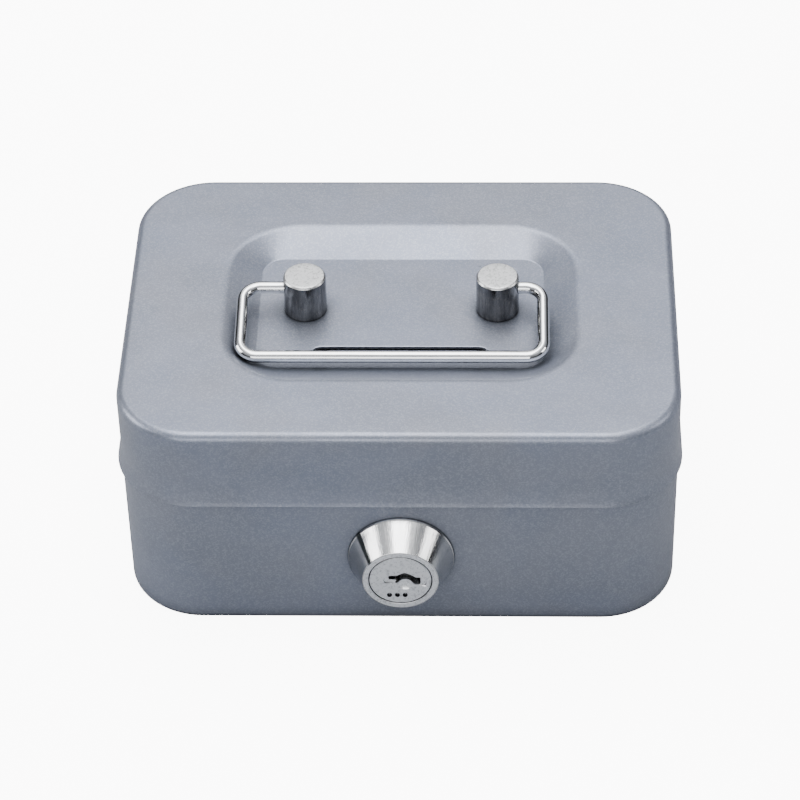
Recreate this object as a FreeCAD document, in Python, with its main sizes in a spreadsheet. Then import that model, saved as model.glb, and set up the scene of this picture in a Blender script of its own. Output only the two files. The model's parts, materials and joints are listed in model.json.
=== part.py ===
import FreeCAD, Part
import math
import os
import re

import Sketcher

# Small cash box in drawn sheet steel: hinged lid with a dished top, coin slot, bail handle on two posts,
# and a cam lock in the front wall that hooks a strike under the lid.
# Millimetres. Origin: centre of the underside of the base. +X right, +Y back, +Z up; the lock faces -Y.
# The lock is drawn turned to its open stop, so the lid is free to lift.

SIZES = {
    # outer form
    "lid_width": 125, "lid_depth": 92, "box_height": 56, "corner_radius": 17.3, "sheet": 0.7,
    "skirt_height": 20, "lid_edge_radius": 2, "flare_height": 2.8, "flare_out": 0.9,
    "base_inset": 0, "base_edge_radius": 2, "joggle": 1.6, "neck_height": 9, "bead_radius": 1,
    # dish pressed in the lid
    "dish_width": 81, "dish_depth": 54.8, "dish_radius": 17, "dish_run": 8.1, "dish_floor_radius": 5,
    "dish_drop": 3.5, "dish_shift": 0.5, "dish_brow_radius": 5, "dish_toe_radius": 1.2,
    # coin slot
    "slot_length": 40, "slot_width": 4.6, "slot_back": 13.7,
    # handle posts and bail
    "post_spacing": 43.8, "post_shift": 1.93, "post_radius": 4.87, "post_height": 9.75, "post_bevel": 0.45,
    "pivot_rise": 6.25, "pivot_bore": 1.47, "pivot_bore_depth": 6.1,
    "wire_radius": 1.4, "bail_width": 68, "bail_reach": 20.6, "bail_corner": 4, "bail_foot": 22.6,
    "bail_side_play": 1.8, "bail_tilt": 9.05,
    "post_screw_radius": 1.5, "post_screw_grip": 3.8, "post_screw_head": 2.8, "post_screw_head_height": 1.8,
    "post_washer_radius": 3.5, "post_washer_thick": 0.5,
    # hinge
    "hinge_length": 60, "leaf": 0.8, "leaf_height": 13, "pin_radius": 1, "knuckle_radius": 1.85,
    "running_gap": 0.05, "hinge_drop": 1.2, "knuckle": 12, "knuckle_gap": 0.15, "swing_gap": 0.4,
    # lock
    "lock_height": 20.3, "lock_side": 0.45, "bezel_radius": 11.9, "bezel_rim": 0.8, "face_radius": 8.5, "lock_rise": 7.8,
    "head_radius": 7, "head_depth": 1.8, "head_gap": 0.15, "core_radius": 5.5, "core_gap": 0.06,
    "barrel_radius": 8, "barrel_flat": 14, "barrel_depth": 9.5, "tail_square": 6, "square_gap": 0.05,
    "stop_thick": 1, "cam_thick": 1.6, "cam_washer_thick": 0.6, "cam_screw_radius": 2,
    "cam_screw_head": 3.6, "cam_screw_head_height": 2.2, "cam_boss_radius": 6.5, "cam_reach": 15,
    "cam_nose": 3, "cam_hook": 9, "nut_across": 20, "nut_thick": 3.5, "lock_washer_radius": 11.5,
    "lock_washer_thick": 1, "wafer_count": 5, "wafer_pitch": 2, "wafer_thick": 0.8, "wafer_width": 5.8,
    # strike
    "strike_width": 8, "strike_thick": 1, "strike_gap": 0.4, "strike_plane": 40,
}

doc = FreeCAD.newDocument("cash_box")
dims = doc.addObject("Spreadsheet::Sheet", "dims")
for row, (word, number) in enumerate(SIZES.items(), 1):
    dims.set(f"A{row}", word)
    dims.set(f"B{row}", str(number))
    dims.setAlias(f"B{row}", word)
doc.recompute()


def cell(text):
    """The expression with every size name pointed at its spreadsheet cell."""
    return re.sub(r"[a-z_]+", lambda m: f"dims.{m[0]}" if m[0] in SIZES else m[0], text)


def mm(text):
    """The present value of an expression."""
    return float(dims.evalExpression(cell(text)))


def at(x, y, z=0.0):
    return FreeCAD.Vector(x, y, z)


# Levels and half sizes shared by several pieces.
RIM = "(box_height - skirt_height)"
FLOOR = "(box_height - dish_drop)"
DISH_UNDER = f"({FLOOR} - sheet)"
BASE_WIDTH = "(lid_width - 2 * base_inset)"
BASE_DEPTH = "(lid_depth - 2 * base_inset)"
NECK_IN = "(base_inset + joggle)"
NECK_WIDTH = f"(lid_width - 2 * {NECK_IN})"
NECK_DEPTH = f"(lid_depth - 2 * {NECK_IN})"
WALL_FACE = "(lid_depth / 2 - base_inset)"
PIN_HEIGHT = f"({RIM} - hinge_drop)"
PIN_BACK = "(lid_depth / 2 + knuckle_radius)"
STACK_WASHER = "(sheet + lock_washer_thick)"
STOP_FACE = "(barrel_depth + 0.1)"
CAM_FACE = f"({STOP_FACE} + stop_thick)"
CAM_BACK = f"({CAM_FACE} + cam_thick)"
SCREW_SEAT = f"({CAM_BACK} + cam_washer_thick)"


def new_body(label, placement=None):
    body = doc.addObject("PartDesign::Body", label)
    body.Label = label
    body.AllowCompound = True
    body.Placement = placement or FreeCAD.Placement()
    return body


def new_sketch(body, name, role="XY_Plane", offset=None):
    made = body.newObject("Sketcher::SketchObject", name)
    plane = next(f for f in body.Origin.OriginFeatures if f.Role == role)
    made.AttachmentSupport = [(plane, "")]
    made.MapMode = "FlatFace"
    if offset is not None:
        made.setExpression("AttachmentOffset.Base.z", cell(offset))
    return made


def size(sketch, kind, *where, value):
    """Add a sizing constraint that follows a spreadsheet expression."""
    index = sketch.addConstraint(Sketcher.Constraint(kind, *where, mm(value)))
    if re.search("[a-z]", value):
        sketch.setExpression(f"Constraints[{index}]", cell(value))


def pin_point(sketch, geometry, vertex, x, y):
    size(sketch, "DistanceX", -1, 1, geometry, vertex, value=x)
    size(sketch, "DistanceY", -1, 1, geometry, vertex, value=y)


def polygon(sketch, points):
    """Closed outline through the given corners, each corner sized from the sketch origin."""
    first = len(sketch.Geometry)
    spots = [at(mm(x), mm(y)) for x, y in points]
    count = len(spots)
    for i in range(count):
        sketch.addGeometry(Part.LineSegment(spots[i], spots[(i + 1) % count]))
    for i in range(count):
        sketch.addConstraint(Sketcher.Constraint("Coincident", first + i, 2, first + (i + 1) % count, 1))
    for i, (x, y) in enumerate(points):
        pin_point(sketch, first + i, 1, x, y)


def rectangle(sketch, left, right, bottom, top):
    polygon(sketch, [(left, bottom), (right, bottom), (right, top), (left, top)])


def circle(sketch, radius, x="0", y="0"):
    index = sketch.addGeometry(Part.Circle(at(mm(x), mm(y)), at(0, 0, 1), mm(radius)))
    size(sketch, "Radius", index, value=radius)
    pin_point(sketch, index, 3, x, y)


def corner_arc(sketch, x, y, radius, start):
    """Quarter-circle corner that begins at the given angle in degrees."""
    ring = Part.Circle(at(x, y), at(0, 0, 1), radius)
    first = math.radians(start)
    return sketch.addGeometry(Part.ArcOfCircle(ring, first, first + math.pi / 2))


def join_tangent(sketch, chain, closed=True):
    pairs = list(zip(chain, chain[1:]))
    if closed:
        pairs.append((chain[-1], chain[0]))
    for one, two in pairs:
        sketch.addConstraint(Sketcher.Constraint("Tangent", one, 2, two, 1))


def rounded_rectangle(sketch, width, depth, radius, centre="0"):
    """Rectangle with four equal tangent corners, centred on X = 0 and Y = centre."""
    w, d, r, c = mm(width) / 2, mm(depth) / 2, mm(radius), mm(centre)
    front = sketch.addGeometry(Part.LineSegment(at(r - w, c - d), at(w - r, c - d)))
    corner_1 = corner_arc(sketch, w - r, c - d + r, r, -90)
    right = sketch.addGeometry(Part.LineSegment(at(w, c - d + r), at(w, c + d - r)))
    corner_2 = corner_arc(sketch, w - r, c + d - r, r, 0)
    back = sketch.addGeometry(Part.LineSegment(at(w - r, c + d), at(r - w, c + d)))
    corner_3 = corner_arc(sketch, r - w, c + d - r, r, 90)
    left = sketch.addGeometry(Part.LineSegment(at(-w, c + d - r), at(-w, c - d + r)))
    corner_4 = corner_arc(sketch, r - w, c - d + r, r, 180)
    join_tangent(sketch, [front, corner_1, right, corner_2, back, corner_3, left, corner_4])
    for line in (front, back):
        sketch.addConstraint(Sketcher.Constraint("Horizontal", line))
    for line in (left, right):
        sketch.addConstraint(Sketcher.Constraint("Vertical", line))
    for corner in (corner_2, corner_3, corner_4):
        sketch.addConstraint(Sketcher.Constraint("Equal", corner_1, corner))
    size(sketch, "Radius", corner_1, value=radius)
    size(sketch, "DistanceX", corner_4, 3, corner_1, 3, value=f"{width} - 2 * {radius}")
    size(sketch, "DistanceY", corner_1, 3, corner_2, 3, value=f"{depth} - 2 * {radius}")
    pin_point(sketch, corner_1, 3, f"{width} / 2 - {radius}", f"{centre} - {depth} / 2 + {radius}")


def double_d(sketch, radius, across, height="0", side="0"):
    """Circle with two flats, above and below its centre, which sits at the given height and side."""
    r, h, z, x = mm(radius), mm(f"({across}) / 2"), mm(height), mm(side)
    reach = math.sqrt(r * r - h * h)
    lean = math.asin(h / r)
    ring = Part.Circle(at(x, z), at(0, 0, 1), r)
    top = sketch.addGeometry(Part.LineSegment(at(x + reach, z + h), at(x - reach, z + h)))
    left = sketch.addGeometry(Part.ArcOfCircle(ring, math.pi - lean, math.pi + lean))
    bottom = sketch.addGeometry(Part.LineSegment(at(x - reach, z - h), at(x + reach, z - h)))
    right = sketch.addGeometry(Part.ArcOfCircle(ring, -lean, lean))
    for one, two in ((top, left), (left, bottom), (bottom, right), (right, top)):
        sketch.addConstraint(Sketcher.Constraint("Coincident", one, 2, two, 1))
    sketch.addConstraint(Sketcher.Constraint("Horizontal", top))
    sketch.addConstraint(Sketcher.Constraint("Horizontal", bottom))
    sketch.addConstraint(Sketcher.Constraint("Coincident", left, 3, right, 3))
    pin_point(sketch, left, 3, side, height)
    size(sketch, "Radius", left, value=radius)
    size(sketch, "DistanceY", -1, 1, top, 1, value=f"{height} + ({across}) / 2")
    size(sketch, "DistanceY", -1, 1, bottom, 1, value=f"{height} - ({across}) / 2")


def pad(body, name, sketch, length, both_ways=False, flip=False):
    made = body.newObject("PartDesign::Pad", name)
    made.Profile = sketch
    made.setExpression("Length", cell(length))
    made.Midplane = both_ways
    made.Reversed = flip
    return made


def pocket(body, name, sketch, length, both_ways=False, flip=False):
    """Cut by the sketch. The cut runs against the sketch normal unless flipped."""
    made = body.newObject("PartDesign::Pocket", name)
    made.Profile = sketch
    made.setExpression("Length", cell(length))
    made.Midplane = both_ways
    made.Reversed = flip
    return made


def loft(body, kind, name, one, two):
    made = body.newObject(f"PartDesign::{kind}", name)
    made.Profile = one
    made.Sections = [two]
    made.Ruled = True
    return made


def revolve(body, name, sketch):
    made = body.newObject("PartDesign::Revolution", name)
    made.Profile = sketch
    made.ReferenceAxis = (sketch, ["V_Axis"])
    made.Angle = 360
    return made


def sweep(body, name, profile, path):
    made = body.newObject("PartDesign::AdditivePipe", name)
    made.Profile = profile
    made.Spine = (path, [])
    return made


def round_edges(body, name, base, radius, wanted):
    """Fillet every edge of the base feature whose bounding box passes the test."""
    doc.recompute()
    names = [f"Edge{i}" for i, edge in enumerate(base.Shape.Edges, 1) if wanted(edge.BoundBox)]
    made = body.newObject("PartDesign::Fillet", name)
    made.Base = (base, names)
    made.setExpression("Radius", cell(radius))
    return made


def level_edges(height, near=0.01):
    """Test for edges lying flat at one height."""
    z = mm(height)
    return lambda box: abs(box.ZMin - z) < near and abs(box.ZMax - z) < near


def placed_on_front():
    """Placement of a piece drawn about the lock axis: its +Z looks out of the front wall."""
    spot = at(mm("lock_side"), -mm(WALL_FACE), mm("lock_height"))
    return FreeCAD.Placement(spot, FreeCAD.Rotation(at(1, 0, 0), 90))


def rounded_layer(body, name, height, width, depth, radius, centre="0"):
    """Rounded rectangle sketch at one height."""
    made = new_sketch(body, name, offset=height)
    rounded_rectangle(made, width, depth, radius, centre)
    return made


# ---------------------------------------------------------------------------------------------- base
def base_shell():
    body = new_body("base_shell")
    outer_radius = "(corner_radius - base_inset)"
    neck_radius = f"(corner_radius - {NECK_IN})"
    foot = rounded_layer(body, "foot", "0", BASE_WIDTH, BASE_DEPTH, outer_radius)
    pad(body, "lower_body", foot, RIM)
    step_low = rounded_layer(body, "step_low", RIM, BASE_WIDTH, BASE_DEPTH, outer_radius)
    step_top = f"({RIM} + joggle)"
    step_high = rounded_layer(body, "step_high", step_top, NECK_WIDTH, NECK_DEPTH, neck_radius)
    loft(body, "AdditiveLoft", "step", step_low, step_high)
    neck = rounded_layer(body, "neck_outline", step_top, NECK_WIDTH, NECK_DEPTH, neck_radius)
    solid = pad(body, "neck", neck, "neck_height - joggle")
    round_edges(body, "bottom_round", solid, "base_edge_radius", level_edges("0"))

    inner_radius = f"({outer_radius} - sheet)"
    well = rounded_layer(body, "well", "sheet", f"({BASE_WIDTH} - 2 * sheet)", f"({BASE_DEPTH} - 2 * sheet)",
                         inner_radius)
    low_top = f"({RIM} - 0.3)"
    lower = pocket(body, "lower_hollow", well, f"{low_top} - sheet", flip=True)
    round_edges(body, "inside_round", lower, "base_edge_radius - sheet", level_edges("sheet"))
    in_low = rounded_layer(body, "inner_step_low", low_top, f"({BASE_WIDTH} - 2 * sheet)",
                           f"({BASE_DEPTH} - 2 * sheet)", inner_radius)
    in_top = f"({step_top} - 0.3)"
    neck_in_width = f"({NECK_WIDTH} - 2 * sheet)"
    neck_in_depth = f"({NECK_DEPTH} - 2 * sheet)"
    neck_in_radius = f"({neck_radius} - sheet)"
    in_high = rounded_layer(body, "inner_step_high", in_top, neck_in_width, neck_in_depth, neck_in_radius)
    loft(body, "SubtractiveLoft", "inner_step", in_low, in_high)
    mouth = rounded_layer(body, "mouth", in_top, neck_in_width, neck_in_depth, neck_in_radius)
    pocket(body, "upper_hollow", mouth, "neck_height", flip=True)

    top = f"({RIM} + neck_height)"
    bead_path = rounded_layer(body, "bead_path", top, f"({NECK_WIDTH} - 2 * bead_radius)",
                              f"({NECK_DEPTH} - 2 * bead_radius)", f"({neck_radius} - bead_radius)")
    bead_ring = new_sketch(body, "bead_ring", "XZ_Plane")
    circle(bead_ring, "bead_radius", f"{NECK_WIDTH} / 2 - bead_radius", top)
    sweep(body, "rolled_bead", bead_ring, bead_path)

    hole = new_sketch(body, "lock_hole_outline", "XZ_Plane", offset=WALL_FACE + " + 1")
    double_d(hole, "barrel_radius + core_gap", "barrel_flat + 2 * core_gap", "lock_height", "lock_side")
    pocket(body, "lock_hole", hole, "4")
    return body


# ----------------------------------------------------------------------------------------------- lid
def lid_shell():
    body = new_body("lid_shell")
    flare_top = f"({RIM} + flare_height)"
    skirt = rounded_layer(body, "skirt", flare_top, "lid_width", "lid_depth", "corner_radius")
    solid = pad(body, "lid_block", skirt, f"box_height - {flare_top}")
    round_edges(body, "top_round", solid, "lid_edge_radius", level_edges("box_height"))
    one = rounded_layer(body, "flare_upper", flare_top, "lid_width", "lid_depth", "corner_radius")
    wide = ("(lid_width + 2 * flare_out)", "(lid_depth + 2 * flare_out)", "(corner_radius + flare_out)")
    two = rounded_layer(body, "flare_lower", RIM, *wide)
    loft(body, "AdditiveLoft", "flare", one, two)

    inner = ("(lid_width - 2 * sheet)", "(lid_depth - 2 * sheet)", "(corner_radius - sheet)")
    ceiling = "(box_height - sheet)"
    hollow = rounded_layer(body, "hollow_outline", flare_top, *inner)
    hollowed = pocket(body, "hollow", hollow, f"{ceiling} - {flare_top}", flip=True)
    round_edges(body, "ceiling_round", hollowed, "lid_edge_radius - sheet", level_edges(ceiling))
    three = rounded_layer(body, "flare_inner_upper", flare_top, *inner)
    inner_wide = [f"({text} - 2 * sheet)" for text in wide[:2]] + [f"({wide[2]} - sheet)"]
    four = rounded_layer(body, "flare_inner_lower", RIM, *inner_wide)
    loft(body, "SubtractiveLoft", "flare_hollow", three, four)

    slope = math.atan(mm("dish_drop") / mm("dish_run"))
    spread = f"({round(math.tan(slope / 2), 4)} * sheet)"
    floor_width = "(dish_width - 2 * dish_run)"
    floor_depth = "(dish_depth - 2 * dish_run)"
    under_high = rounded_layer(body, "dish_under_high", ceiling, f"(dish_width + 2 * {spread})",
                               f"(dish_depth + 2 * {spread})", f"(dish_radius + {spread})", "dish_shift")
    under_low = rounded_layer(body, "dish_under_low", DISH_UNDER, f"({floor_width} + 2 * {spread})",
                              f"({floor_depth} + 2 * {spread})", f"(dish_floor_radius + {spread})", "dish_shift")
    loft(body, "AdditiveLoft", "dish_underside", under_high, under_low)
    dish_high = rounded_layer(body, "dish_high", "box_height", "dish_width", "dish_depth", "dish_radius",
                              "dish_shift")
    dish_low = rounded_layer(body, "dish_low", FLOOR, floor_width, floor_depth, "dish_floor_radius",
                             "dish_shift")
    dish = loft(body, "SubtractiveLoft", "dish", dish_high, dish_low)
    near_dish = mm("dish_width / 2 + 1")
    on_top = level_edges("box_height")
    brow = round_edges(body, "dish_brow", dish, "dish_brow_radius",
                       lambda box: on_top(box) and box.XMax < near_dish and box.XMin > -near_dish)
    round_edges(body, "dish_toe", brow, "dish_toe_radius", level_edges(FLOOR))

    slot = new_sketch(body, "slot_outline", offset=FLOOR)
    obround(slot, "slot_length", "slot_width", "-slot_back")
    pocket(body, "coin_slot", slot, "3 * sheet", both_ways=True)
    screws = new_sketch(body, "screw_holes", offset=FLOOR)
    for side in ("", "-"):
        circle(screws, "post_screw_radius + 0.05", f"{side}post_spacing / 2", "post_shift")
    pocket(body, "post_holes", screws, "3 * sheet", both_ways=True)
    gap = new_sketch(body, "hinge_gap_outline", "XZ_Plane", offset="-(lid_depth / 2 + 2)")
    rectangle(gap, "-hinge_length / 2 - 1", "hinge_length / 2 + 1", f"{RIM} - 1", flare_top)
    pocket(body, "hinge_gap", gap, "4", flip=True)
    return body


def obround(sketch, length, width, y):
    """Slot outline with full round ends, centred on X = 0 at the given Y."""
    half, r, c = mm(f"({length} - {width}) / 2"), mm(width) / 2, mm(y)
    top = sketch.addGeometry(Part.LineSegment(at(half, c + r), at(-half, c + r)))
    ring = Part.Circle(at(-half, c), at(0, 0, 1), r)
    left = sketch.addGeometry(Part.ArcOfCircle(ring, math.pi / 2, 3 * math.pi / 2))
    bottom = sketch.addGeometry(Part.LineSegment(at(-half, c - r), at(half, c - r)))
    ring = Part.Circle(at(half, c), at(0, 0, 1), r)
    right = sketch.addGeometry(Part.ArcOfCircle(ring, -math.pi / 2, math.pi / 2))
    join_tangent(sketch, [top, left, bottom, right])
    sketch.addConstraint(Sketcher.Constraint("Horizontal", top))
    size(sketch, "Radius", left, value=f"{width} / 2")
    pin_point(sketch, left, 3, f"-({length} - {width}) / 2", y)
    size(sketch, "DistanceX", -1, 1, right, 3, value=f"({length} - {width}) / 2")


# -------------------------------------------------------------------------------------- handle posts
def handle_post(label, side):
    """Turned post, drawn about its own axis, with a blind cross bore for the bail on its outer side."""
    spot = at(side * mm("post_spacing") / 2, mm("post_shift"), mm(FLOOR))
    body = new_body(label, FreeCAD.Placement(spot, FreeCAD.Rotation()))
    outline = new_sketch(body, f"{label}_outline", "XZ_Plane")
    polygon(outline, [("0", "0"), ("post_radius", "0"), ("post_radius", "post_height - post_bevel"),
                      ("post_radius - post_bevel", "post_height"), ("0", "post_height")])
    revolve(body, f"{label}_turned", outline)
    tapped = new_sketch(body, f"{label}_tap")
    circle(tapped, "post_screw_radius")
    pocket(body, f"{label}_tapped_hole", tapped, "post_screw_grip", flip=True)
    bore = new_sketch(body, f"{label}_bore", "YZ_Plane", offset=f"{side} * (post_radius + 1)")
    circle(bore, "pivot_bore", "0", "pivot_rise")
    pocket(body, f"{label}_pivot_bore", bore, "pivot_bore_depth + 1", flip=side < 0)
    return body


def post_screws():
    body = new_body("post_screws")
    seat = f"({DISH_UNDER} - post_washer_thick)"
    heads = new_sketch(body, "head_outlines", offset=seat)
    shanks = new_sketch(body, "shank_outlines", offset=seat)
    cross = new_sketch(body, "driver_slots", offset=f"{seat} - post_screw_head_height")
    for side in ("", "-"):
        x = f"{side}post_spacing / 2"
        circle(heads, "post_screw_head", x, "post_shift")
        circle(shanks, "post_screw_radius", x, "post_shift")
        rectangle(cross, f"{x} - 2", f"{x} + 2", "post_shift - 0.35", "post_shift + 0.35")
    pad(body, "screw_heads", heads, "post_screw_head_height", flip=True)
    pad(body, "screw_shanks", shanks, "post_washer_thick + sheet + post_screw_grip - 0.05")
    pocket(body, "screw_slots", cross, "0.9", flip=True)
    return body


def post_washers():
    body = new_body("post_washers")
    rings = new_sketch(body, "washer_outlines", offset=DISH_UNDER)
    for side in ("", "-"):
        x = f"{side}post_spacing / 2"
        circle(rings, "post_washer_radius", x, "post_shift")
        circle(rings, "post_screw_radius + 0.1", x, "post_shift")
    pad(body, "washers", rings, "post_washer_thick", flip=True)
    return body


def handle_bail():
    """Bent wire, drawn flat about its pivot line and tipped forward into the dish."""
    spot = at(-mm("bail_side_play"), mm("post_shift"), mm(f"{FLOOR} + pivot_rise"))
    tilt = FreeCAD.Rotation(at(1, 0, 0), mm("bail_tilt"))
    body = new_body("handle_bail", FreeCAD.Placement(spot, tilt))
    path = new_sketch(body, "bail_path")
    half, reach = mm("bail_width / 2"), mm("bail_reach")
    c, foot = mm("bail_corner"), mm("bail_foot")
    leg_1 = path.addGeometry(Part.LineSegment(at(-foot, 0), at(c - half, 0)))
    bend_1 = corner_arc(path, c - half, -c, c, 90)
    arm_1 = path.addGeometry(Part.LineSegment(at(-half, -c), at(-half, c - reach)))
    bend_2 = corner_arc(path, c - half, c - reach, c, 180)
    grip = path.addGeometry(Part.LineSegment(at(c - half, -reach), at(half - c, -reach)))
    bend_3 = corner_arc(path, half - c, c - reach, c, 270)
    arm_2 = path.addGeometry(Part.LineSegment(at(half, c - reach), at(half, -c)))
    bend_4 = corner_arc(path, half - c, -c, c, 0)
    leg_2 = path.addGeometry(Part.LineSegment(at(half - c, 0), at(foot, 0)))
    join_tangent(path, [leg_1, bend_1, arm_1, bend_2, grip, bend_3, arm_2, bend_4, leg_2], closed=False)
    for line in (leg_1, grip, leg_2):
        path.addConstraint(Sketcher.Constraint("Horizontal", line))
    for line in (arm_1, arm_2):
        path.addConstraint(Sketcher.Constraint("Vertical", line))
    for bend in (bend_2, bend_3, bend_4):
        path.addConstraint(Sketcher.Constraint("Equal", bend_1, bend))
    size(path, "Radius", bend_1, value="bail_corner")
    pin_point(path, leg_1, 1, "-bail_foot", "0")
    size(path, "DistanceX", -1, 1, leg_2, 2, value="bail_foot")
    pin_point(path, bend_2, 3, "bail_corner - bail_width / 2", "bail_corner - bail_reach")
    size(path, "DistanceX", -1, 1, bend_3, 3, value="bail_width / 2 - bail_corner")
    wire = new_sketch(body, "wire_section", "YZ_Plane", offset="-bail_foot")
    circle(wire, "wire_radius")
    sweep(body, "bent_wire", wire, path)
    return body


# --------------------------------------------------------------------------------------------- hinge
def hinge_leaf(label, face, low, high, open_low, open_high, gaps):
    """Leaf plate with a knuckle barrel along the pin; the gaps are where the other leaf's knuckles run."""
    body = new_body(label)
    plate = new_sketch(body, f"{label}_plate", "YZ_Plane")
    rectangle(plate, face, f"{face} + leaf", low, high)
    pad(body, f"{label}_flat", plate, "hinge_length", both_ways=True)
    barrel = new_sketch(body, f"{label}_barrel", "YZ_Plane")
    circle(barrel, "knuckle_radius", PIN_BACK, PIN_HEIGHT)
    pad(body, f"{label}_knuckles", barrel, "hinge_length", both_ways=True)
    bore = new_sketch(body, f"{label}_bore", "YZ_Plane")
    circle(bore, "pin_radius + running_gap", PIN_BACK, PIN_HEIGHT)
    pocket(body, f"{label}_pin_bore", bore, "hinge_length + 4", both_ways=True)
    notch = new_sketch(body, f"{label}_notch", "XZ_Plane", offset=f"-({PIN_BACK} + knuckle_radius + 1)")
    for left, right in gaps:
        rectangle(notch, left, right, open_low, open_high)
    pocket(body, f"{label}_clearance", notch, "8", flip=True)
    return body


def hinge_leaf_base():
    ends = [("-hinge_length / 2 + knuckle - knuckle_gap", "-knuckle / 2 + knuckle_gap"),
            ("knuckle / 2 - knuckle_gap", "hinge_length / 2 - knuckle + knuckle_gap")]
    return hinge_leaf("hinge_leaf_base", WALL_FACE, f"{PIN_HEIGHT} - leaf_height", PIN_HEIGHT,
                      f"{PIN_HEIGHT} - knuckle_radius - swing_gap", f"{PIN_HEIGHT} + knuckle_radius + 1", ends)


def hinge_leaf_lid():
    spans = [("-hinge_length / 2 - 1", "-hinge_length / 2 + knuckle + knuckle_gap"),
             ("-knuckle / 2 - knuckle_gap", "knuckle / 2 + knuckle_gap"),
             ("hinge_length / 2 - knuckle - knuckle_gap", "hinge_length / 2 + 1")]
    return hinge_leaf("hinge_leaf_lid", "lid_depth / 2", PIN_HEIGHT, f"{PIN_HEIGHT} + leaf_height",
                      f"{PIN_HEIGHT} - knuckle_radius - 1", f"{PIN_HEIGHT} + knuckle_radius + swing_gap", spans)


def hinge_pin():
    """Headed pin drawn upright and laid along X."""
    spot = at(0, mm(PIN_BACK), mm(PIN_HEIGHT))
    body = new_body("hinge_pin", FreeCAD.Placement(spot, FreeCAD.Rotation(at(0, 1, 0), 90)))
    outline = new_sketch(body, "pin_outline", "XZ_Plane")
    end = "(hinge_length / 2 + 0.1)"
    head = "pin_radius + 0.4"
    polygon(outline, [("0", f"-{end} - 0.7"), (head, f"-{end} - 0.7"), (head, f"-{end}"),
                      ("pin_radius", f"-{end}"), ("pin_radius", end), (head, end),
                      (head, f"{end} + 0.7"), ("0", f"{end} + 0.7")])
    revolve(body, "turned_pin", outline)
    return body


# ---------------------------------------------------------------------------------------------- lock
# Every lock piece is drawn about its own +Z, which looks out of the front wall; Z = 0 is the wall's outer face.
def lock_housing():
    body = new_body("lock_housing", placed_on_front())
    outline = new_sketch(body, "housing_outline", "XZ_Plane")
    bore = "core_radius + core_gap"
    mouth = "head_radius + head_gap"
    polygon(outline, [(bore, "-barrel_depth"), ("barrel_radius", "-barrel_depth"), ("barrel_radius", "0"),
                      ("bezel_radius", "0"), ("bezel_radius", "bezel_rim"),
                      ("face_radius + 0.15", "lock_rise - 0.2"), ("face_radius - 0.15", "lock_rise"),
                      (mouth, "lock_rise"), (mouth, "lock_rise - head_depth - 0.1"),
                      (bore, "lock_rise - head_depth - 0.1")])
    revolve(body, "housing_turned", outline)
    flats = new_sketch(body, "flats_outline", offset="0")
    for low, high in (("barrel_flat / 2", "barrel_radius + 1"), ("-barrel_radius - 1", "-barrel_flat / 2")):
        rectangle(flats, "-barrel_radius - 1", "barrel_radius + 1", low, high)
    pocket(body, "barrel_flats", flats, "barrel_depth + 1")
    broach = new_sketch(body, "broach_outline", offset="-barrel_depth")
    rectangle(broach, "-core_radius - 1", "core_radius + 1", "-wafer_width / 2 - 0.2", "wafer_width / 2 + 0.2")
    pocket(body, "wafer_channels", broach, "barrel_depth + 3", flip=True)
    lug = new_sketch(body, "stop_lug_outline", offset="-barrel_depth")
    rectangle(lug, "core_radius + 1.1", "barrel_radius - 0.2", "-1.5", "1.5")
    pad(body, "stop_lug", lug, "stop_thick - 0.1", flip=True)
    return body


def keyway(sketch):
    """Arched key slot, a little right of centre: thin at the left, humped, and thick at the right."""
    top = [("4", "0.6"), ("3", "0.9"), ("1.9", "1.7"), ("0.4", "2.3"), ("-1.2", "1.35"), ("-3", "1.1")]
    underside = [("-3", "0.3"), ("-1.3", "0.1"), ("-1.6", "-0.7"), ("-0.9", "-0.7"), ("-0.2", "-0.1"),
                 ("0.8", "0.05"), ("1.8", "-0.2"), ("2.7", "-1.15"), ("4", "-1.25")]
    polygon(sketch, top + underside)


def lock_plug():
    body = new_body("lock_plug", placed_on_front())
    outline = new_sketch(body, "plug_outline", "XZ_Plane")
    seat = "lock_rise - head_depth"
    polygon(outline, [("0", f"-{STOP_FACE} + 0.05"), ("core_radius", f"-{STOP_FACE} + 0.05"),
                      ("core_radius", seat), ("head_radius", seat), ("head_radius", "lock_rise - 0.15"),
                      ("head_radius - 0.1", "lock_rise - 0.05"), ("0", "lock_rise - 0.05")])
    revolve(body, "plug_turned", outline)
    tail = new_sketch(body, "tail_outline", offset=f"-{STOP_FACE} + 0.05")
    rectangle(tail, "-tail_square / 2", "tail_square / 2", "-tail_square / 2", "tail_square / 2")
    pad(body, "square_tail", tail, "stop_thick + cam_thick", flip=True)
    face = new_sketch(body, "face_recess_outline", offset="lock_rise")
    rectangle(face, "-4.3", "5.3", "-1.3", "1.2")
    pocket(body, "face_recess", face, "0.4")
    slot = new_sketch(body, "keyway_outline", offset="lock_rise")
    keyway(slot)
    pocket(body, "key_slot", slot, "lock_rise + 7.5")
    marks = new_sketch(body, "code_marks", offset="lock_rise")
    for x in ("-2.2", "-0.6", "1"):
        circle(marks, "0.4", x, "-4.5")
    pocket(body, "punched_marks", marks, "0.2")
    first = new_sketch(body, "wafer_slot_outline", "XZ_Plane")
    for i in range(SIZES["wafer_count"]):
        middle = f"(1.5 - {i} * wafer_pitch)"
        rectangle(first, "-core_radius - 1", "core_radius + 1", f"{middle} - wafer_thick / 2 - 0.05",
                  f"{middle} + wafer_thick / 2 + 0.05")
    pocket(body, "wafer_slots", first, "wafer_width + 0.2", both_ways=True)
    tapped = new_sketch(body, "tail_tap", offset=f"-{CAM_BACK} - 1")
    circle(tapped, "cam_screw_radius")
    pocket(body, "tapped_tail", tapped, "4", flip=True)
    return body


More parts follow.
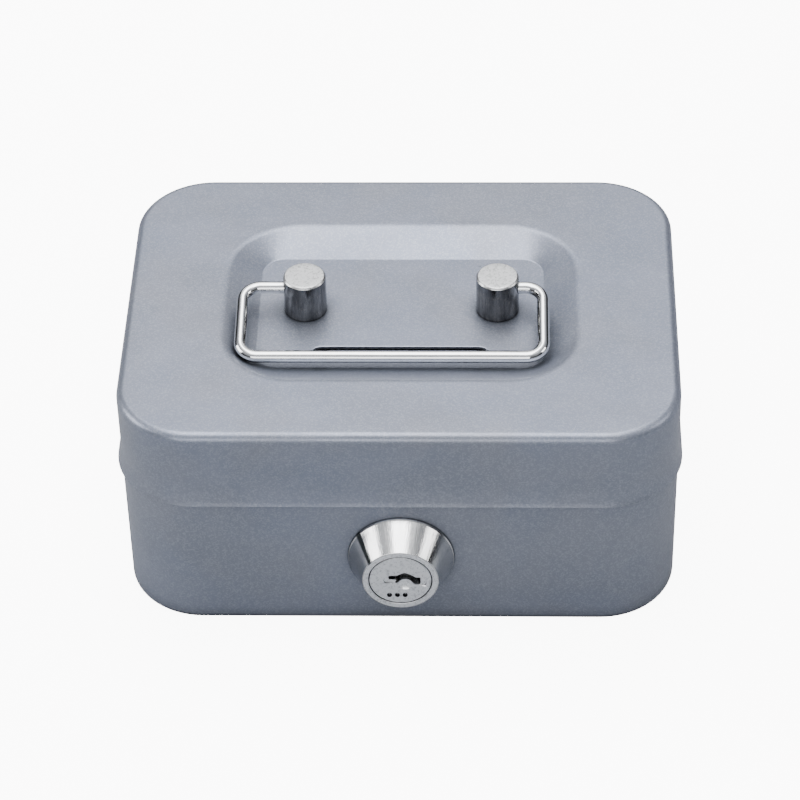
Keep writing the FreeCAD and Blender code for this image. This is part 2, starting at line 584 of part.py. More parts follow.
def wafers():
    """Tumbler wafers held level with the core, each with a window round the key slot."""
    body = new_body("wafers", placed_on_front())
    for i in range(SIZES["wafer_count"]):
        top = f"1.5 - {i} * wafer_pitch + wafer_thick / 2"
        plate = new_sketch(body, f"wafer_outline_{i + 1}", offset=top)
        rectangle(plate, "-4.6", "4.6", "-wafer_width / 2", "wafer_width / 2")
        rectangle(plate, "-3.3", "4.15", "-1.5", "2.45")
        pad(body, f"wafer_{i + 1}", plate, "wafer_thick", flip=True)
    return body


def lock_washer():
    body = new_body("lock_washer", placed_on_front())
    ring = new_sketch(body, "lock_washer_outline", offset="-sheet")
    circle(ring, "lock_washer_radius")
    circle(ring, "barrel_radius + 0.1")
    pad(body, "washer", ring, "lock_washer_thick", flip=True)
    return body


def lock_nut():
    body = new_body("lock_nut", placed_on_front())
    face = new_sketch(body, "nut_outline", offset=f"-{STACK_WASHER}")
    corner = f"(nut_across * {round(1 / math.sqrt(3), 6)})"
    polygon(face, [(corner, "0"), (f"{corner} / 2", "nut_across / 2"), (f"-{corner} / 2", "nut_across / 2"),
                   (f"-{corner}", "0"), (f"-{corner} / 2", "-nut_across / 2"),
                   (f"{corner} / 2", "-nut_across / 2")])
    circle(face, "barrel_radius")
    pad(body, "hexagon", face, "nut_thick", flip=True)
    return body


def stop_washer():
    """Keyed washer whose cut-away lets the barrel's lug travel a quarter turn."""
    body = new_body("stop_washer", placed_on_front())
    start = f"-{STOP_FACE}"
    disc = new_sketch(body, "stop_disc_outline", offset=start)
    circle(disc, "barrel_radius")
    pad(body, "stop_disc", disc, "stop_thick", flip=True)
    free = new_sketch(body, "stop_travel_outline", offset=start)
    rays = [math.radians(angle) for angle in (-106, -60, 16)]
    polygon(free, [("0", "0")] + [(str(round(16 * math.cos(a), 4)), str(round(16 * math.sin(a), 4)))
                                  for a in rays])
    pocket(body, "stop_travel", free, "stop_thick")
    core = new_sketch(body, "stop_core_outline", offset=start)
    circle(core, "core_radius + 0.8")
    pad(body, "stop_core", core, "stop_thick", flip=True)
    hole = new_sketch(body, "stop_square", offset=start)
    square_hole(hole)
    pocket(body, "stop_key", hole, "stop_thick")
    return body


def square_hole(sketch):
    half = "tail_square / 2 + square_gap"
    rectangle(sketch, f"-({half})", half, f"-({half})", half)


def lock_cam():
    """Hook cam at its open stop: arm to the right, nose up. A quarter turn brings the nose over the strike."""
    body = new_body("lock_cam", placed_on_front())
    start = f"-{CAM_FACE}"
    boss = new_sketch(body, "cam_boss_outline", offset=start)
    circle(boss, "cam_boss_radius")
    pad(body, "cam_boss", boss, "cam_thick", flip=True)
    arm = new_sketch(body, "cam_arm_outline", offset=start)
    polygon(arm, [("0", "-cam_nose"), ("cam_reach - 1", "-cam_nose"), ("cam_reach", "1 - cam_nose"),
                  ("cam_reach", "cam_hook - 1"), ("cam_reach - 1", "cam_hook"),
                  ("cam_reach - cam_nose", "cam_hook"), ("cam_reach - cam_nose", "cam_nose + 1"),
                  ("cam_reach - cam_nose - 1", "cam_nose"), ("0", "cam_nose")])
    pad(body, "cam_arm", arm, "cam_thick", flip=True)
    hole = new_sketch(body, "cam_square", offset=start)
    square_hole(hole)
    pocket(body, "cam_key", hole, "cam_thick")
    return body


def cam_washer():
    body = new_body("cam_washer", placed_on_front())
    ring = new_sketch(body, "cam_washer_outline", offset=f"-{CAM_BACK}")
    circle(ring, "cam_boss_radius - 1.5")
    circle(ring, "cam_screw_radius + 0.1")
    pad(body, "spring_washer", ring, "cam_washer_thick", flip=True)
    return body


def cam_screw():
    body = new_body("cam_screw", placed_on_front())
    outline = new_sketch(body, "cam_screw_outline", "XZ_Plane")
    head_end = f"-{SCREW_SEAT} - cam_screw_head_height"
    polygon(outline, [("0", head_end), ("cam_screw_head - 0.5", head_end),
                      ("cam_screw_head", f"-{SCREW_SEAT} - 1.4"), ("cam_screw_head", f"-{SCREW_SEAT}"),
                      ("cam_screw_radius", f"-{SCREW_SEAT}"), ("cam_screw_radius", f"-{CAM_BACK} + 2.9"),
                      ("0", f"-{CAM_BACK} + 2.9")])
    revolve(body, "cam_screw_turned", outline)
    slot = new_sketch(body, "cam_screw_slot", offset=head_end)
    rectangle(slot, "-cam_screw_head - 1", "cam_screw_head + 1", "-0.5", "0.5")
    pocket(body, "driver_slot", slot, "1", flip=True)
    return body


def strike_plate():
    """Bent strip welded under the lid top; its turned-back foot is what the hook holds down."""
    body = new_body("strike_plate")
    side = new_sketch(body, "strike_profile", "YZ_Plane", offset="lock_side - cam_hook - 3")
    ceiling = "(box_height - sheet)"
    foot = "(lock_height + cam_reach - cam_nose - strike_gap)"
    front, back = "-strike_plane", "-strike_plane + strike_thick"
    polygon(side, [(front, ceiling), (front, f"{foot} - strike_thick"),
                   ("7.5 - strike_plane", f"{foot} - strike_thick"), ("7.5 - strike_plane", foot),
                   (back, foot), (back, f"{ceiling} - strike_thick"),
                   ("12 - strike_plane", f"{ceiling} - strike_thick"), ("12 - strike_plane", ceiling)])
    strip = pad(body, "strip", side, "strike_width")
    outer = [("front_top", mm(front), mm(ceiling)), ("front_foot", mm(front), mm(f"{foot} - strike_thick"))]
    for name, y, z in outer:
        strip = round_edges(body, name, strip, "strike_thick", edge_along_x(y, z))
    return body


def edge_along_x(y, z, near=0.01):
    """Test for the straight edge that runs along X at the given Y and Z."""
    return lambda box: (abs(box.YMin - y) < near and abs(box.YMax - y) < near
                        and abs(box.ZMin - z) < near and abs(box.ZMax - z) < near)


def build():
    bodies = [base_shell(), lid_shell(), handle_post("post_left", -1), handle_post("post_right", 1),
              post_screws(), post_washers(), handle_bail(), hinge_leaf_base(), hinge_leaf_lid(), hinge_pin(),
              lock_housing(), lock_plug(), wafers(), lock_washer(), lock_nut(), stop_washer(), lock_cam(),
              cam_washer(), cam_screw(), strike_plate()]
    doc.recompute()
    for item in doc.Objects:
        if {"Invalid", "Error"} & set(item.State):
            raise RuntimeError(f"{item.Name}: {item.State}")
    os.makedirs("parts", exist_ok=True)
    for body in bodies:
        if body.Shape.isNull() or not body.Shape.isValid() or body.Shape.Volume <= 0:
            raise RuntimeError(f"{body.Label}: bad shape")
        body.Shape.exportStep(f"parts/{body.Label}.step")
        box = body.Shape.optimalBoundingBox()
        FreeCAD.Console.PrintMessage(
            f"{body.Label}: {body.Shape.Volume:.1f} mm3, {len(body.Shape.Solids)} solid(s), "
            f"X {box.XMin:.2f}..{box.XMax:.2f} Y {box.YMin:.2f}..{box.YMax:.2f} "
            f"Z {box.ZMin:.2f}..{box.ZMax:.2f}\n")


build()
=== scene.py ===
"""Looks, light and camera for a small painted steel cash box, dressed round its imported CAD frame."""

import json
import logging
import math
from dataclasses import dataclass, field
from enum import Enum

import bmesh
import bpy
from mathutils import Matrix, Vector
from mathutils.geometry import interpolate_bezier


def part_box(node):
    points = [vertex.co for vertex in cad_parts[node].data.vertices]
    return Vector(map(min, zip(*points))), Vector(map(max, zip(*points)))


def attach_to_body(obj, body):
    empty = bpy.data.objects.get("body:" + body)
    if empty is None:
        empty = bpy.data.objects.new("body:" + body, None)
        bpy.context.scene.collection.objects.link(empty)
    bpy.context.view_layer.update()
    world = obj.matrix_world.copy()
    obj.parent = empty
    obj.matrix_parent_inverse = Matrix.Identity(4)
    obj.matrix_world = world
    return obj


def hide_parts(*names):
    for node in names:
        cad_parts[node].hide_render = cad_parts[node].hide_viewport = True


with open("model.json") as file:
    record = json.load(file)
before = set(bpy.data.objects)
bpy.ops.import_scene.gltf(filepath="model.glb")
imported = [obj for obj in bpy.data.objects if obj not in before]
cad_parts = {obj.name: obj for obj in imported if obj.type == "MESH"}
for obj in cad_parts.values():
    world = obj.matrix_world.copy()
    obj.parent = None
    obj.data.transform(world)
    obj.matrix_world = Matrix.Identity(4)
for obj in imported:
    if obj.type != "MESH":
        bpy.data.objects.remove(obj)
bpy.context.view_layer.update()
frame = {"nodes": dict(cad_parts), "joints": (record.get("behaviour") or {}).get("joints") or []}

MM = 0.001
PIT = (0.2, 0.19, 0.18, 1)
LOG = logging.getLogger("cash_box")


# ------------------------------------------------------------------------------------------- options
class Slot(Enum):
    """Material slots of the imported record."""

    PAINT = "grey_paint"
    CHROME = "chrome_plate"
    SATIN = "satin_steel"
    ZINC = "zinc_steel"
    BRASS = "brass_wafer"


class Body(Enum):
    """Moving bodies of the frame."""

    BASE = "base"
    LID = "lid"
    BAIL = "bail"
    PLUG = "plug"


class Blend(Enum):
    """Ways two colours or values are mixed."""

    MIX = "MIX"
    MULTIPLY = "MULTIPLY"
    ADD = "ADD"


# -------------------------------------------------------------------------------------- mesh building
@dataclass(frozen=True)
class RoundRect:
    """Rounded rectangle in millimetres, centred on X = 0.

    Args:
        half_x: Half the width.
        half_y: Half the depth.
        radius: Corner radius.
        centre_y: Y of the centre.
    """

    half_x: float
    half_y: float
    radius: float
    centre_y: float = 0.0

    def grown(self, by: float) -> "RoundRect":
        """Offset outline.

        Args:
            by: Distance outwards; negative shrinks it.

        Returns:
            The new outline, corners kept concentric.
        """
        return RoundRect(self.half_x + by, self.half_y + by, max(self.radius + by, 0.05), self.centre_y)

    def towards(self, other: "RoundRect", share: float) -> "RoundRect":
        """Outline part way to another.

        Args:
            other: Outline reached at share 1.
            share: 0 to 1.

        Returns:
            The blended outline.
        """
        return RoundRect(
            self.half_x + (other.half_x - self.half_x) * share,
            self.half_y + (other.half_y - self.half_y) * share,
            self.radius + (other.radius - self.radius) * share,
            self.centre_y + (other.centre_y - self.centre_y) * share,
        )

    def ring(self, height: float, corner_steps: int = 16, side_steps: int = 14) -> list[Vector]:
        """Points round the outline, counter-clockwise from above.

        Args:
            height: Z in millimetres.
            corner_steps: Steps in each quarter circle.
            side_steps: Steps along each straight side.

        Returns:
            The points in millimetres, the same count for every outline.
        """
        spots: list[Vector] = []
        x, y, r = self.half_x - self.radius, self.half_y - self.radius, self.radius
        centres = ((x, -y, -90), (x, y, 0), (-x, y, 90), (-x, -y, 180))
        for index, (cx, cy, start) in enumerate(centres):
            for step in range(corner_steps + 1):
                turn = math.radians(start + 90 * step / corner_steps)
                spots.append(Vector((cx + r * math.cos(turn), cy + self.centre_y + r * math.sin(turn),
                                     height)))
            nx, ny, begin = centres[(index + 1) % 4]
            turn = math.radians(begin)
            last = spots[-1]
            goal = Vector((nx + r * math.cos(turn), ny + self.centre_y + r * math.sin(turn), height))
            spots += [last.lerp(goal, step / side_steps) for step in range(1, side_steps)]
        return spots


class Sculptor:
    """Collects rings of points in millimetres and turns them into one mesh object in metres."""

    def __init__(self) -> None:
        self.points: list[Vector] = []
        self.faces: list[tuple[int, ...]] = []
        self.finishes: list[int] = []

    def ring(self, spots: list[Vector]) -> list[int]:
        """Add one ring.

        Args:
            spots: Points in millimetres.

        Returns:
            Their indices.
        """
        start = len(self.points)
        self.points += spots
        return list(range(start, start + len(spots)))

    def face(self, corners: tuple[int, ...], finish: int = 0) -> None:
        """Add one face.

        Args:
            corners: Point indices.
            finish: Material index.
        """
        self.faces.append(corners)
        self.finishes.append(finish)

    def skin(self, rings: list[list[Vector]], cap_first: bool = True) -> None:
        """Join rings of equal count into a surface.

        Args:
            rings: Rings in order; the last one is closed with a face.
            cap_first: Close the first ring with a face too.
        """
        made = [self.ring(spots) for spots in rings]
        for low, high in zip(made, made[1:]):
            self.band(low, high)
        if cap_first:
            self.face(tuple(reversed(made[0])))
        self.face(tuple(made[-1]))

    def band(self, low: list[int], high: list[int], finish: int = 0) -> None:
        """Join two rings of equal count.

        Args:
            low: Point indices of the first ring.
            high: Point indices of the second ring.
            finish: Material index.
        """
        count = len(low)
        for i in range(count):
            j = (i + 1) % count
            self.face((low[i], low[j], high[j], high[i]), finish)

    def finish(self, name: str, smooth_angle: float = 32.0, place: Matrix | None = None) -> bpy.types.Object:
        """Make the object.

        Args:
            name: Object name.
            smooth_angle: Edges sharper than this many degrees stay hard.
            place: Placement in millimetres applied to the points.

        Returns:
            The new mesh object, its points in the row frame in metres.
        """
        move = place or Matrix.Identity(4)
        mesh = bpy.data.meshes.new(name)
        mesh.from_pydata([(move @ p) * MM for p in self.points], [], self.faces)
        mesh.polygons.foreach_set("material_index", self.finishes)
        mesh.validate()
        made = bpy.data.objects.new(name, mesh)
        bpy.context.scene.collection.objects.link(made)
        smooth(made, smooth_angle)
        return made


def smooth(piece: bpy.types.Object, angle: float = 32.0) -> None:
    """Shade smooth, keep real corners hard and let big flats rule the normals.

    Args:
        piece: Mesh object.
        angle: Corner angle in degrees above which an edge stays hard.
    """
    piece.data.shade_smooth()
    piece.data.set_sharp_from_angle(angle=math.radians(angle))
    if "flat_normals" not in piece.modifiers:
        weigh = piece.modifiers.new("flat_normals", "WEIGHTED_NORMAL")
        weigh.keep_sharp = True
        weigh.weight = 80


def soften(piece: bpy.types.Object, width: float, angle: float = 40.0, steps: int = 2) -> None:
    """Round the hard edges of a piece a little.

    Args:
        piece: Mesh object.
        width: Bevel width in millimetres.
        angle: Edge angle in degrees that counts as hard.
        steps: Bevel segments.
    """
    round_off = piece.modifiers.new("edge_break", "BEVEL")
    round_off.width = width * MM
    round_off.segments = steps
    round_off.limit_method = "ANGLE"
    round_off.angle_limit = math.radians(angle)
    round_off.harden_normals = False
    while piece.modifiers[0].name != "edge_break":
        piece.modifiers.move(len(piece.modifiers) - 1, 0)


def carve(target: bpy.types.Object, cutter: bpy.types.Object, angle: float = 32.0) -> None:
    """Cut one mesh out of another and drop the cutter.

    Args:
        target: Mesh that keeps its name.
        cutter: Mesh removed from it.
        angle: Edges sharper than this stay sharp, in degrees.
    """
    kept = [m.name for m in target.modifiers]
    for name in kept:
        target.modifiers.remove(target.modifiers[name])
    cut = target.modifiers.new("carve", "BOOLEAN")
    cut.operation = "DIFFERENCE"
    cut.solver = "EXACT"
    cut.object = cutter
    graph = bpy.context.evaluated_depsgraph_get()
    mesh = bpy.data.meshes.new_from_object(target.evaluated_get(graph))
    target.modifiers.remove(cut)
    target.data = mesh
    target.data.name = target.name
    bpy.data.objects.remove(cutter)
    smooth(target, angle)


def lathe(name: str, profile: list[tuple[float, float]], steps: int = 96, place: Matrix | None = None,
          finishes: list[int] | None = None, flat_half: float | None = None) -> bpy.types.Object:
    """Turned piece about its own Z.

    Args:
        name: Object name.
        profile: Radius and height pairs, walked so that the material is on the left.
        steps: Points round.
        place: Placement in millimetres.
        finishes: Material index of each band between profile points.
        flat_half: Half distance across two flats cut on points below height zero.

    Returns:
        The mesh object.
    """
    work = Sculptor()
    made = []
    for radius, height in profile:
        spots = []
        for cos, sin in round_points(steps):
            x, y = radius * cos, radius * sin
            if flat_half and height < -0.01 and radius > flat_half:
                y = max(-flat_half, min(flat_half, y))
            spots.append(Vector((x, y, height)))
        made.append(work.ring(spots))
    for index, (low, high) in enumerate(zip(made, made[1:])):
        work.band(low, high, finishes[index] if finishes else 0)
    for end, ring_ids in ((0, made[0]), (-1, made[-1])):
        if profile[end][0] > 0.001 and profile[0] != profile[-1]:
            corners = tuple(reversed(ring_ids)) if end == 0 else tuple(ring_ids)
            work.face(corners, (finishes or [0])[end])
    piece = work.finish(name, place=place)
    merge_close(piece)
    return piece


def merge_close(piece: bpy.types.Object) -> None:
    """Weld points that fall together, such as a ring of no radius.

    Args:
        piece: Mesh object.
    """
    work = bmesh.new()
    work.from_mesh(piece.data)
    bmesh.ops.remove_doubles(work, verts=work.verts, dist=1e-6)
    bmesh.ops.dissolve_degenerate(work, edges=work.edges, dist=1e-7)
    bmesh.ops.recalc_face_normals(work, faces=work.faces)
    work.to_mesh(piece.data)
    work.free()
    smooth(piece)


def prism(name: str, outline: list[tuple[float, float]], low: float, high: float,
          place: Matrix | None = None) -> bpy.types.Object:
    """Straight-sided block used as a cutter.

    Args:
        name: Object name.
        outline: Counter-clockwise corners in millimetres.
        low: Lower height.
        high: Upper height.
        place: Placement in millimetres.

    Returns:
        The mesh object.
    """
    work = Sculptor()
    work.skin([[Vector((x, y, z)) for x, y in outline] for z in (low, high)])
    return work.finish(name, place=place)


def round_points(steps: int) -> list[tuple[float, float]]:
    """Cosine and sine of even turns once round.

    Args:
        steps: Number of points.

    Returns:
        One pair for each point.
    """
    turns = [2 * math.pi * step / steps for step in range(steps)]
    return [(math.cos(turn), math.sin(turn)) for turn in turns]


def arc(centre: tuple[float, float], radius: float, start: float, end: float,
        steps: int) -> list[tuple[float, float]]:
    """Points along an arc.

    Args:
        centre: Centre.
        radius: Radius.
        start: First angle in degrees.
        end: Last angle in degrees.
        steps: Number of steps.

    Returns:
        The points, both ends included.
    """
    turns = [math.radians(start + (end - start) * i / steps) for i in range(steps + 1)]
    return [(centre[0] + radius * math.cos(t), centre[1] + radius * math.sin(t)) for t in turns]


def wall_frame(axis: Vector) -> Matrix:
    """Placement whose +Z looks out of the front wall along the lock axis.

    Args:
        axis: Point where the axis meets the wall, metres.

    Returns:
        Placement in millimetres.
    """
    return Matrix.Translation(axis / MM) @ Matrix.Rotation(math.pi / 2, 4, "X")


def obround(length: float, width: float, steps: int = 12) -> list[tuple[float, float]]:
    """Slot outline along X about the origin.

    Args:
        length: End to end, millimetres.
        width: Width, millimetres.
        steps: Steps in each end.

    Returns:
        Counter-clockwise corners.
    """
    radius, half = width / 2, (length - width) / 2
    return arc((half, 0), radius, -90, 90, steps) + arc((-half, 0), radius, 90, 270, steps)


def flowing(corners: list[tuple[float, float]], steps: int = 5,
            ease: float = 0.28) -> list[tuple[float, float]]:
    """Outline through the corners with each one rounded.

    Args:
        corners: Corner points, millimetres.
        steps: Points in each rounding.
        ease: Share of the shorter neighbouring side that the rounding takes.

    Returns:
        The smoothed outline.
    """
    out: list[tuple[float, float]] = []
    count = len(corners)
    for i in range(count):
        here = Vector((*corners[i], 0))
        back = Vector((*corners[i - 1], 0)) - here
        ahead = Vector((*corners[(i + 1) % count], 0)) - here
        reach = ease * min(back.length, ahead.length)
        a, b = here + back.normalized() * reach, here + ahead.normalized() * reach
        curve = interpolate_bezier(a, a.lerp(here, 0.6), b.lerp(here, 0.6), b, steps)
        out += [(p.x, p.y) for p in curve]
    return out


# ------------------------------------------------------------------------------------- shader helpers
class Wiring:
    """Short way to add and join shader nodes in one tree."""

    def __init__(self, tree: bpy.types.NodeTree) -> None:
        self.tree = tree

    def node(self, kind: str, values: dict | None = None, **settings: object) -> bpy.types.Node:
        """Add one node.

        Args:
            kind: Node type name.
            values: Input name or index to number, colour or output socket.
            settings: Node properties.

        Returns:
            The node.
        """
        made = self.tree.nodes.new(kind)
        for key, value in settings.items():
            setattr(made, key, value)
        for key, value in (values or {}).items():
            self.feed(made.inputs[key], value)
        return made

    def feed(self, socket: bpy.types.NodeSocket, value: object) -> None:
        """Set a socket or link an output to it.

        Args:
            socket: Input socket.
            value: Number, tuple or output socket.
        """
        if isinstance(value, bpy.types.NodeSocket):
            self.tree.links.new(value, socket)
        else:
            socket.default_value = value

    def noise(self, where: object, scale: object, detail: float = 4.0, rough: float = 0.55,
              warp: float = 0.0) -> bpy.types.NodeSocket:
        """Noise value.

        Args:
            where: Coordinate socket.
            scale: Cells per metre, a number or socket.
            detail: Octaves.
            rough: Weight of the finer octaves.
            warp: Distortion.

        Returns:
            Output between 0 and 1.
        """
        made = self.node("ShaderNodeTexNoise", {"Vector": where, "Scale": scale, "Detail": detail,
                                                "Roughness": rough, "Distortion": warp})
        return made.outputs["Fac"]

    def math(self, operation: str, one: object, two: object = 0.0, three: object = 0.0,
             clamp: bool = False) -> bpy.types.NodeSocket:
        """Arithmetic.

        Args:
            operation: Math node operation.
            one: First value or socket.
            two: Second value or socket.
            three: Third value or socket.
            clamp: Keep the result within 0 and 1.

        Returns:
            Result socket.
        """
        made = self.node("ShaderNodeMath", operation=operation, use_clamp=clamp)
        self.feed(made.inputs[0], one)
        self.feed(made.inputs[1], two)
        if operation == "MULTIPLY_ADD":
            self.feed(made.inputs[2], three)
        return made.outputs[0]

    def vector(self, operation: str, one: object, two: object) -> bpy.types.NodeSocket:
        """Vector arithmetic.

        Args:
            operation: Vector math operation.
            one: First vector or socket.
            two: Second vector or socket.

        Returns:
            Vector socket.
        """
        return self.node("ShaderNodeVectorMath", {0: one, 1: two}, operation=operation).outputs[0]

    def grey(self, value: object) -> bpy.types.NodeSocket:
        """Colour of one value in all three channels.

        Args:
            value: Number or socket.

        Returns:
            Colour socket.
        """
        return self.node("ShaderNodeCombineColor", {0: value, 1: value, 2: value}).outputs[0]

    def spread(self, value: object, low: object, high: object, to_low: float = 0.0,
               to_high: float = 1.0) -> bpy.types.NodeSocket:
        """Map a range smoothly onto another.

        Args:
            value: Socket.
            low: Input low end, a number or socket.
            high: Input high end, a number or socket.
            to_low: Output low end.
            to_high: Output high end.

        Returns:
            Result socket.
        """
        made = self.node("ShaderNodeMapRange", {"Value": value, "From Min": low, "From Max": high,
                                                "To Min": to_low, "To Max": to_high},
                         interpolation_type="SMOOTHSTEP")
        return made.outputs["Result"]

    def mix(self, share: object, one: object, two: object, how: Blend = Blend.MIX) -> bpy.types.NodeSocket:
        """Mix two colours.

        Args:
            share: Mix factor.
            one: First colour.
            two: Second colour.
            how: Blend mode.

        Returns:
            Colour socket.
        """
        made = self.node("ShaderNodeMix", data_type="RGBA", blend_type=how.value)
        self.feed(made.inputs[0], share)
        self.feed(made.inputs[6], one)
        self.feed(made.inputs[7], two)
        return made.outputs[2]


def new_group(name: str, inputs: list[tuple[str, str, object]], outputs: list[tuple[str, str]]) -> tuple:
    """Start a shader node group.

    Args:
        name: Group name.
        inputs: Name, socket kind and default of each input.
        outputs: Name and socket kind of each output.

    Returns:
        The group, its wiring, its input node's outputs and its output node's inputs.
    """
    group = bpy.data.node_groups.new(name, "ShaderNodeTree")
    for label, kind, default in inputs:
        socket = group.interface.new_socket(name=label, in_out="INPUT", socket_type=kind)
        if default is not None:
            socket.default_value = default
    for label, kind in outputs:
        group.interface.new_socket(name=label, in_out="OUTPUT", socket_type=kind)
    wires = Wiring(group)
    start = wires.node("NodeGroupInput")
    end = wires.node("NodeGroupOutput")
    return group, wires, start.outputs, end.inputs


NUMBER, COLOUR, VECTOR = "NodeSocketFloat", "NodeSocketColor", "NodeSocketVector"


class Effects:
    """Shared surface effects, each built once as a node group that gives colours, masks or heights."""

    def __init__(self) -> None:
        self.clouds = self._clouds()
        self.grain = self._grain()
        self.specks = self._specks()
        self.scratches = self._scratches()
        self.smudges = self._smudges()
        self.worn_edges = self._worn_edges()
        self.crevice_shade = self._crevice_shade()

    @staticmethod
    def _clouds() -> bpy.types.NodeTree:
        """Broad drift of tint and tone, as in lacquer sprayed a little unevenly.

        Returns:
            Group with Color in and out.
        """
        group, w, source, out = new_group(
            "cloudy_tint", [("Position", VECTOR, None), ("Color", COLOUR, None), ("Amount", NUMBER, 1.0)],
            [("Color", COLOUR)])
        broad = w.spread(w.noise(source["Position"], 26.0, 3.0, 0.5, 0.6), 0.40, 0.62)
        patch = w.spread(w.noise(source["Position"], 70.0, 5.0, 0.6, 0.3), 0.38, 0.64)
        share = w.math("MULTIPLY", broad, source["Amount"])
        warm = w.mix(w.math("MULTIPLY", share, 0.9), source["Color"], (1.0, 0.975, 0.93, 1), Blend.MULTIPLY)
        tone = w.math("MULTIPLY", patch, source["Amount"])
        w.feed(out["Color"], w.mix(w.math("MULTIPLY", tone, 0.6), warm, (0.90, 0.925, 0.955, 1),
                                   Blend.MULTIPLY))
        return group

    @staticmethod
    def _grain() -> bpy.types.NodeTree:
        """Orange peel and metal flake of a sprayed finish.

        Returns:
            Group with Height and Fleck outputs.
        """
        group, w, source, out = new_group(
            "sprayed_grain", [("Position", VECTOR, None)], [("Height", NUMBER), ("Fleck", NUMBER)])
        peel = w.noise(source["Position"], 900.0, 2.0, 0.5)
        fine = w.noise(source["Position"], 4200.0, 2.0, 0.6)
        w.feed(out["Height"], w.math("MULTIPLY_ADD", fine, 0.35, peel))
        cells = w.node("ShaderNodeTexVoronoi", {"Vector": source["Position"], "Scale": 3600.0})
        split = w.node("ShaderNodeSeparateColor", {"Color": cells.outputs["Color"]})
        w.feed(out["Fleck"], split.outputs[0])
        return group

    @staticmethod
    def _specks() -> bpy.types.NodeTree:
        """Rare tiny dust specks and pinholes.

        Returns:
            Group with a Mask output.
        """
        group, w, source, out = new_group(
            "dust_specks", [("Position", VECTOR, None), ("Scale", NUMBER, 240.0), ("Rarity", NUMBER, 0.93)],
            [("Mask", NUMBER)])
        cells = w.node("ShaderNodeTexVoronoi", {"Vector": source["Position"], "Scale": source["Scale"]})
        dot = w.spread(cells.outputs["Distance"], 0.10, 0.05)
        split = w.node("ShaderNodeSeparateColor", {"Color": cells.outputs["Color"]})
        chosen = w.math("GREATER_THAN", split.outputs[1], source["Rarity"])
        w.feed(out["Mask"], w.math("MULTIPLY", dot, chosen))
        return group

    @staticmethod
    def _scratches() -> bpy.types.NodeTree:
        """Fine lines drawn out along one direction.

        Returns:
            Group with Height and Mask outputs.
        """
        group, w, source, out = new_group(
            "fine_lines", [("Position", VECTOR, None), ("Stretch", VECTOR, (1.0, 1.0, 30.0)),
                           ("Scale", NUMBER, 300.0)],
            [("Height", NUMBER), ("Mask", NUMBER)])
        drawn = w.vector("MULTIPLY", source["Position"], source["Stretch"])
        lines = w.noise(drawn, source["Scale"], 3.0, 0.7)
        w.feed(out["Height"], lines)
        w.feed(out["Mask"], w.spread(lines, 0.60, 0.72))
        return group

    @staticmethod
    def _smudges() -> bpy.types.NodeTree:
        """Handling marks and breath-like haze on bright metal.

        Returns:
            Group with a Mask output.
        """
        group, w, source, out = new_group("handling_haze", [("Position", VECTOR, None)], [("Mask", NUMBER)])
        large = w.noise(source["Position"], 120.0, 4.0, 0.6, 0.8)
        small = w.noise(source["Position"], 700.0, 3.0, 0.6)
        w.feed(out["Mask"], w.math("MULTIPLY", w.spread(large, 0.42, 0.68), w.spread(small, 0.3, 0.75)))
        return group

    @staticmethod
    def _worn_edges() -> bpy.types.NodeTree:
        """Where outward corners have been rubbed.

        Returns:
            Group with a Mask output.
        """
        group, w, source, out = new_group(
            "rubbed_edges", [("Position", VECTOR, None), ("Low", NUMBER, 0.54), ("High", NUMBER, 0.62)],
            [("Mask", NUMBER)])
        bend = w.node("ShaderNodeNewGeometry").outputs["Pointiness"]
        bent = w.spread(bend, source["Low"], source["High"])
        broken = w.spread(w.noise(source["Position"], 800.0, 4.0, 0.65), 0.35, 0.65)
        w.feed(out["Mask"], w.math("MULTIPLY", bent, broken, clamp=True))
        return group

    @staticmethod
    def _crevice_shade() -> bpy.types.NodeTree:
        """Painted shade where another surface stands close by, read from ambient occlusion.

        Returns:
            Group with a Mask output.
        """
        group, w, source, out = new_group(
            "painted_joint_shade", [("Reach", NUMBER, 0.002), ("Clear", NUMBER, 0.85)], [("Mask", NUMBER)])
        # Painted shade: the less open the surroundings, the stronger the mask.
        open_share = w.node("ShaderNodeAmbientOcclusion", {"Distance": source["Reach"]}, samples=12)
        w.feed(out["Mask"], w.spread(open_share.outputs["AO"], source["Clear"], 0.35))
        return group


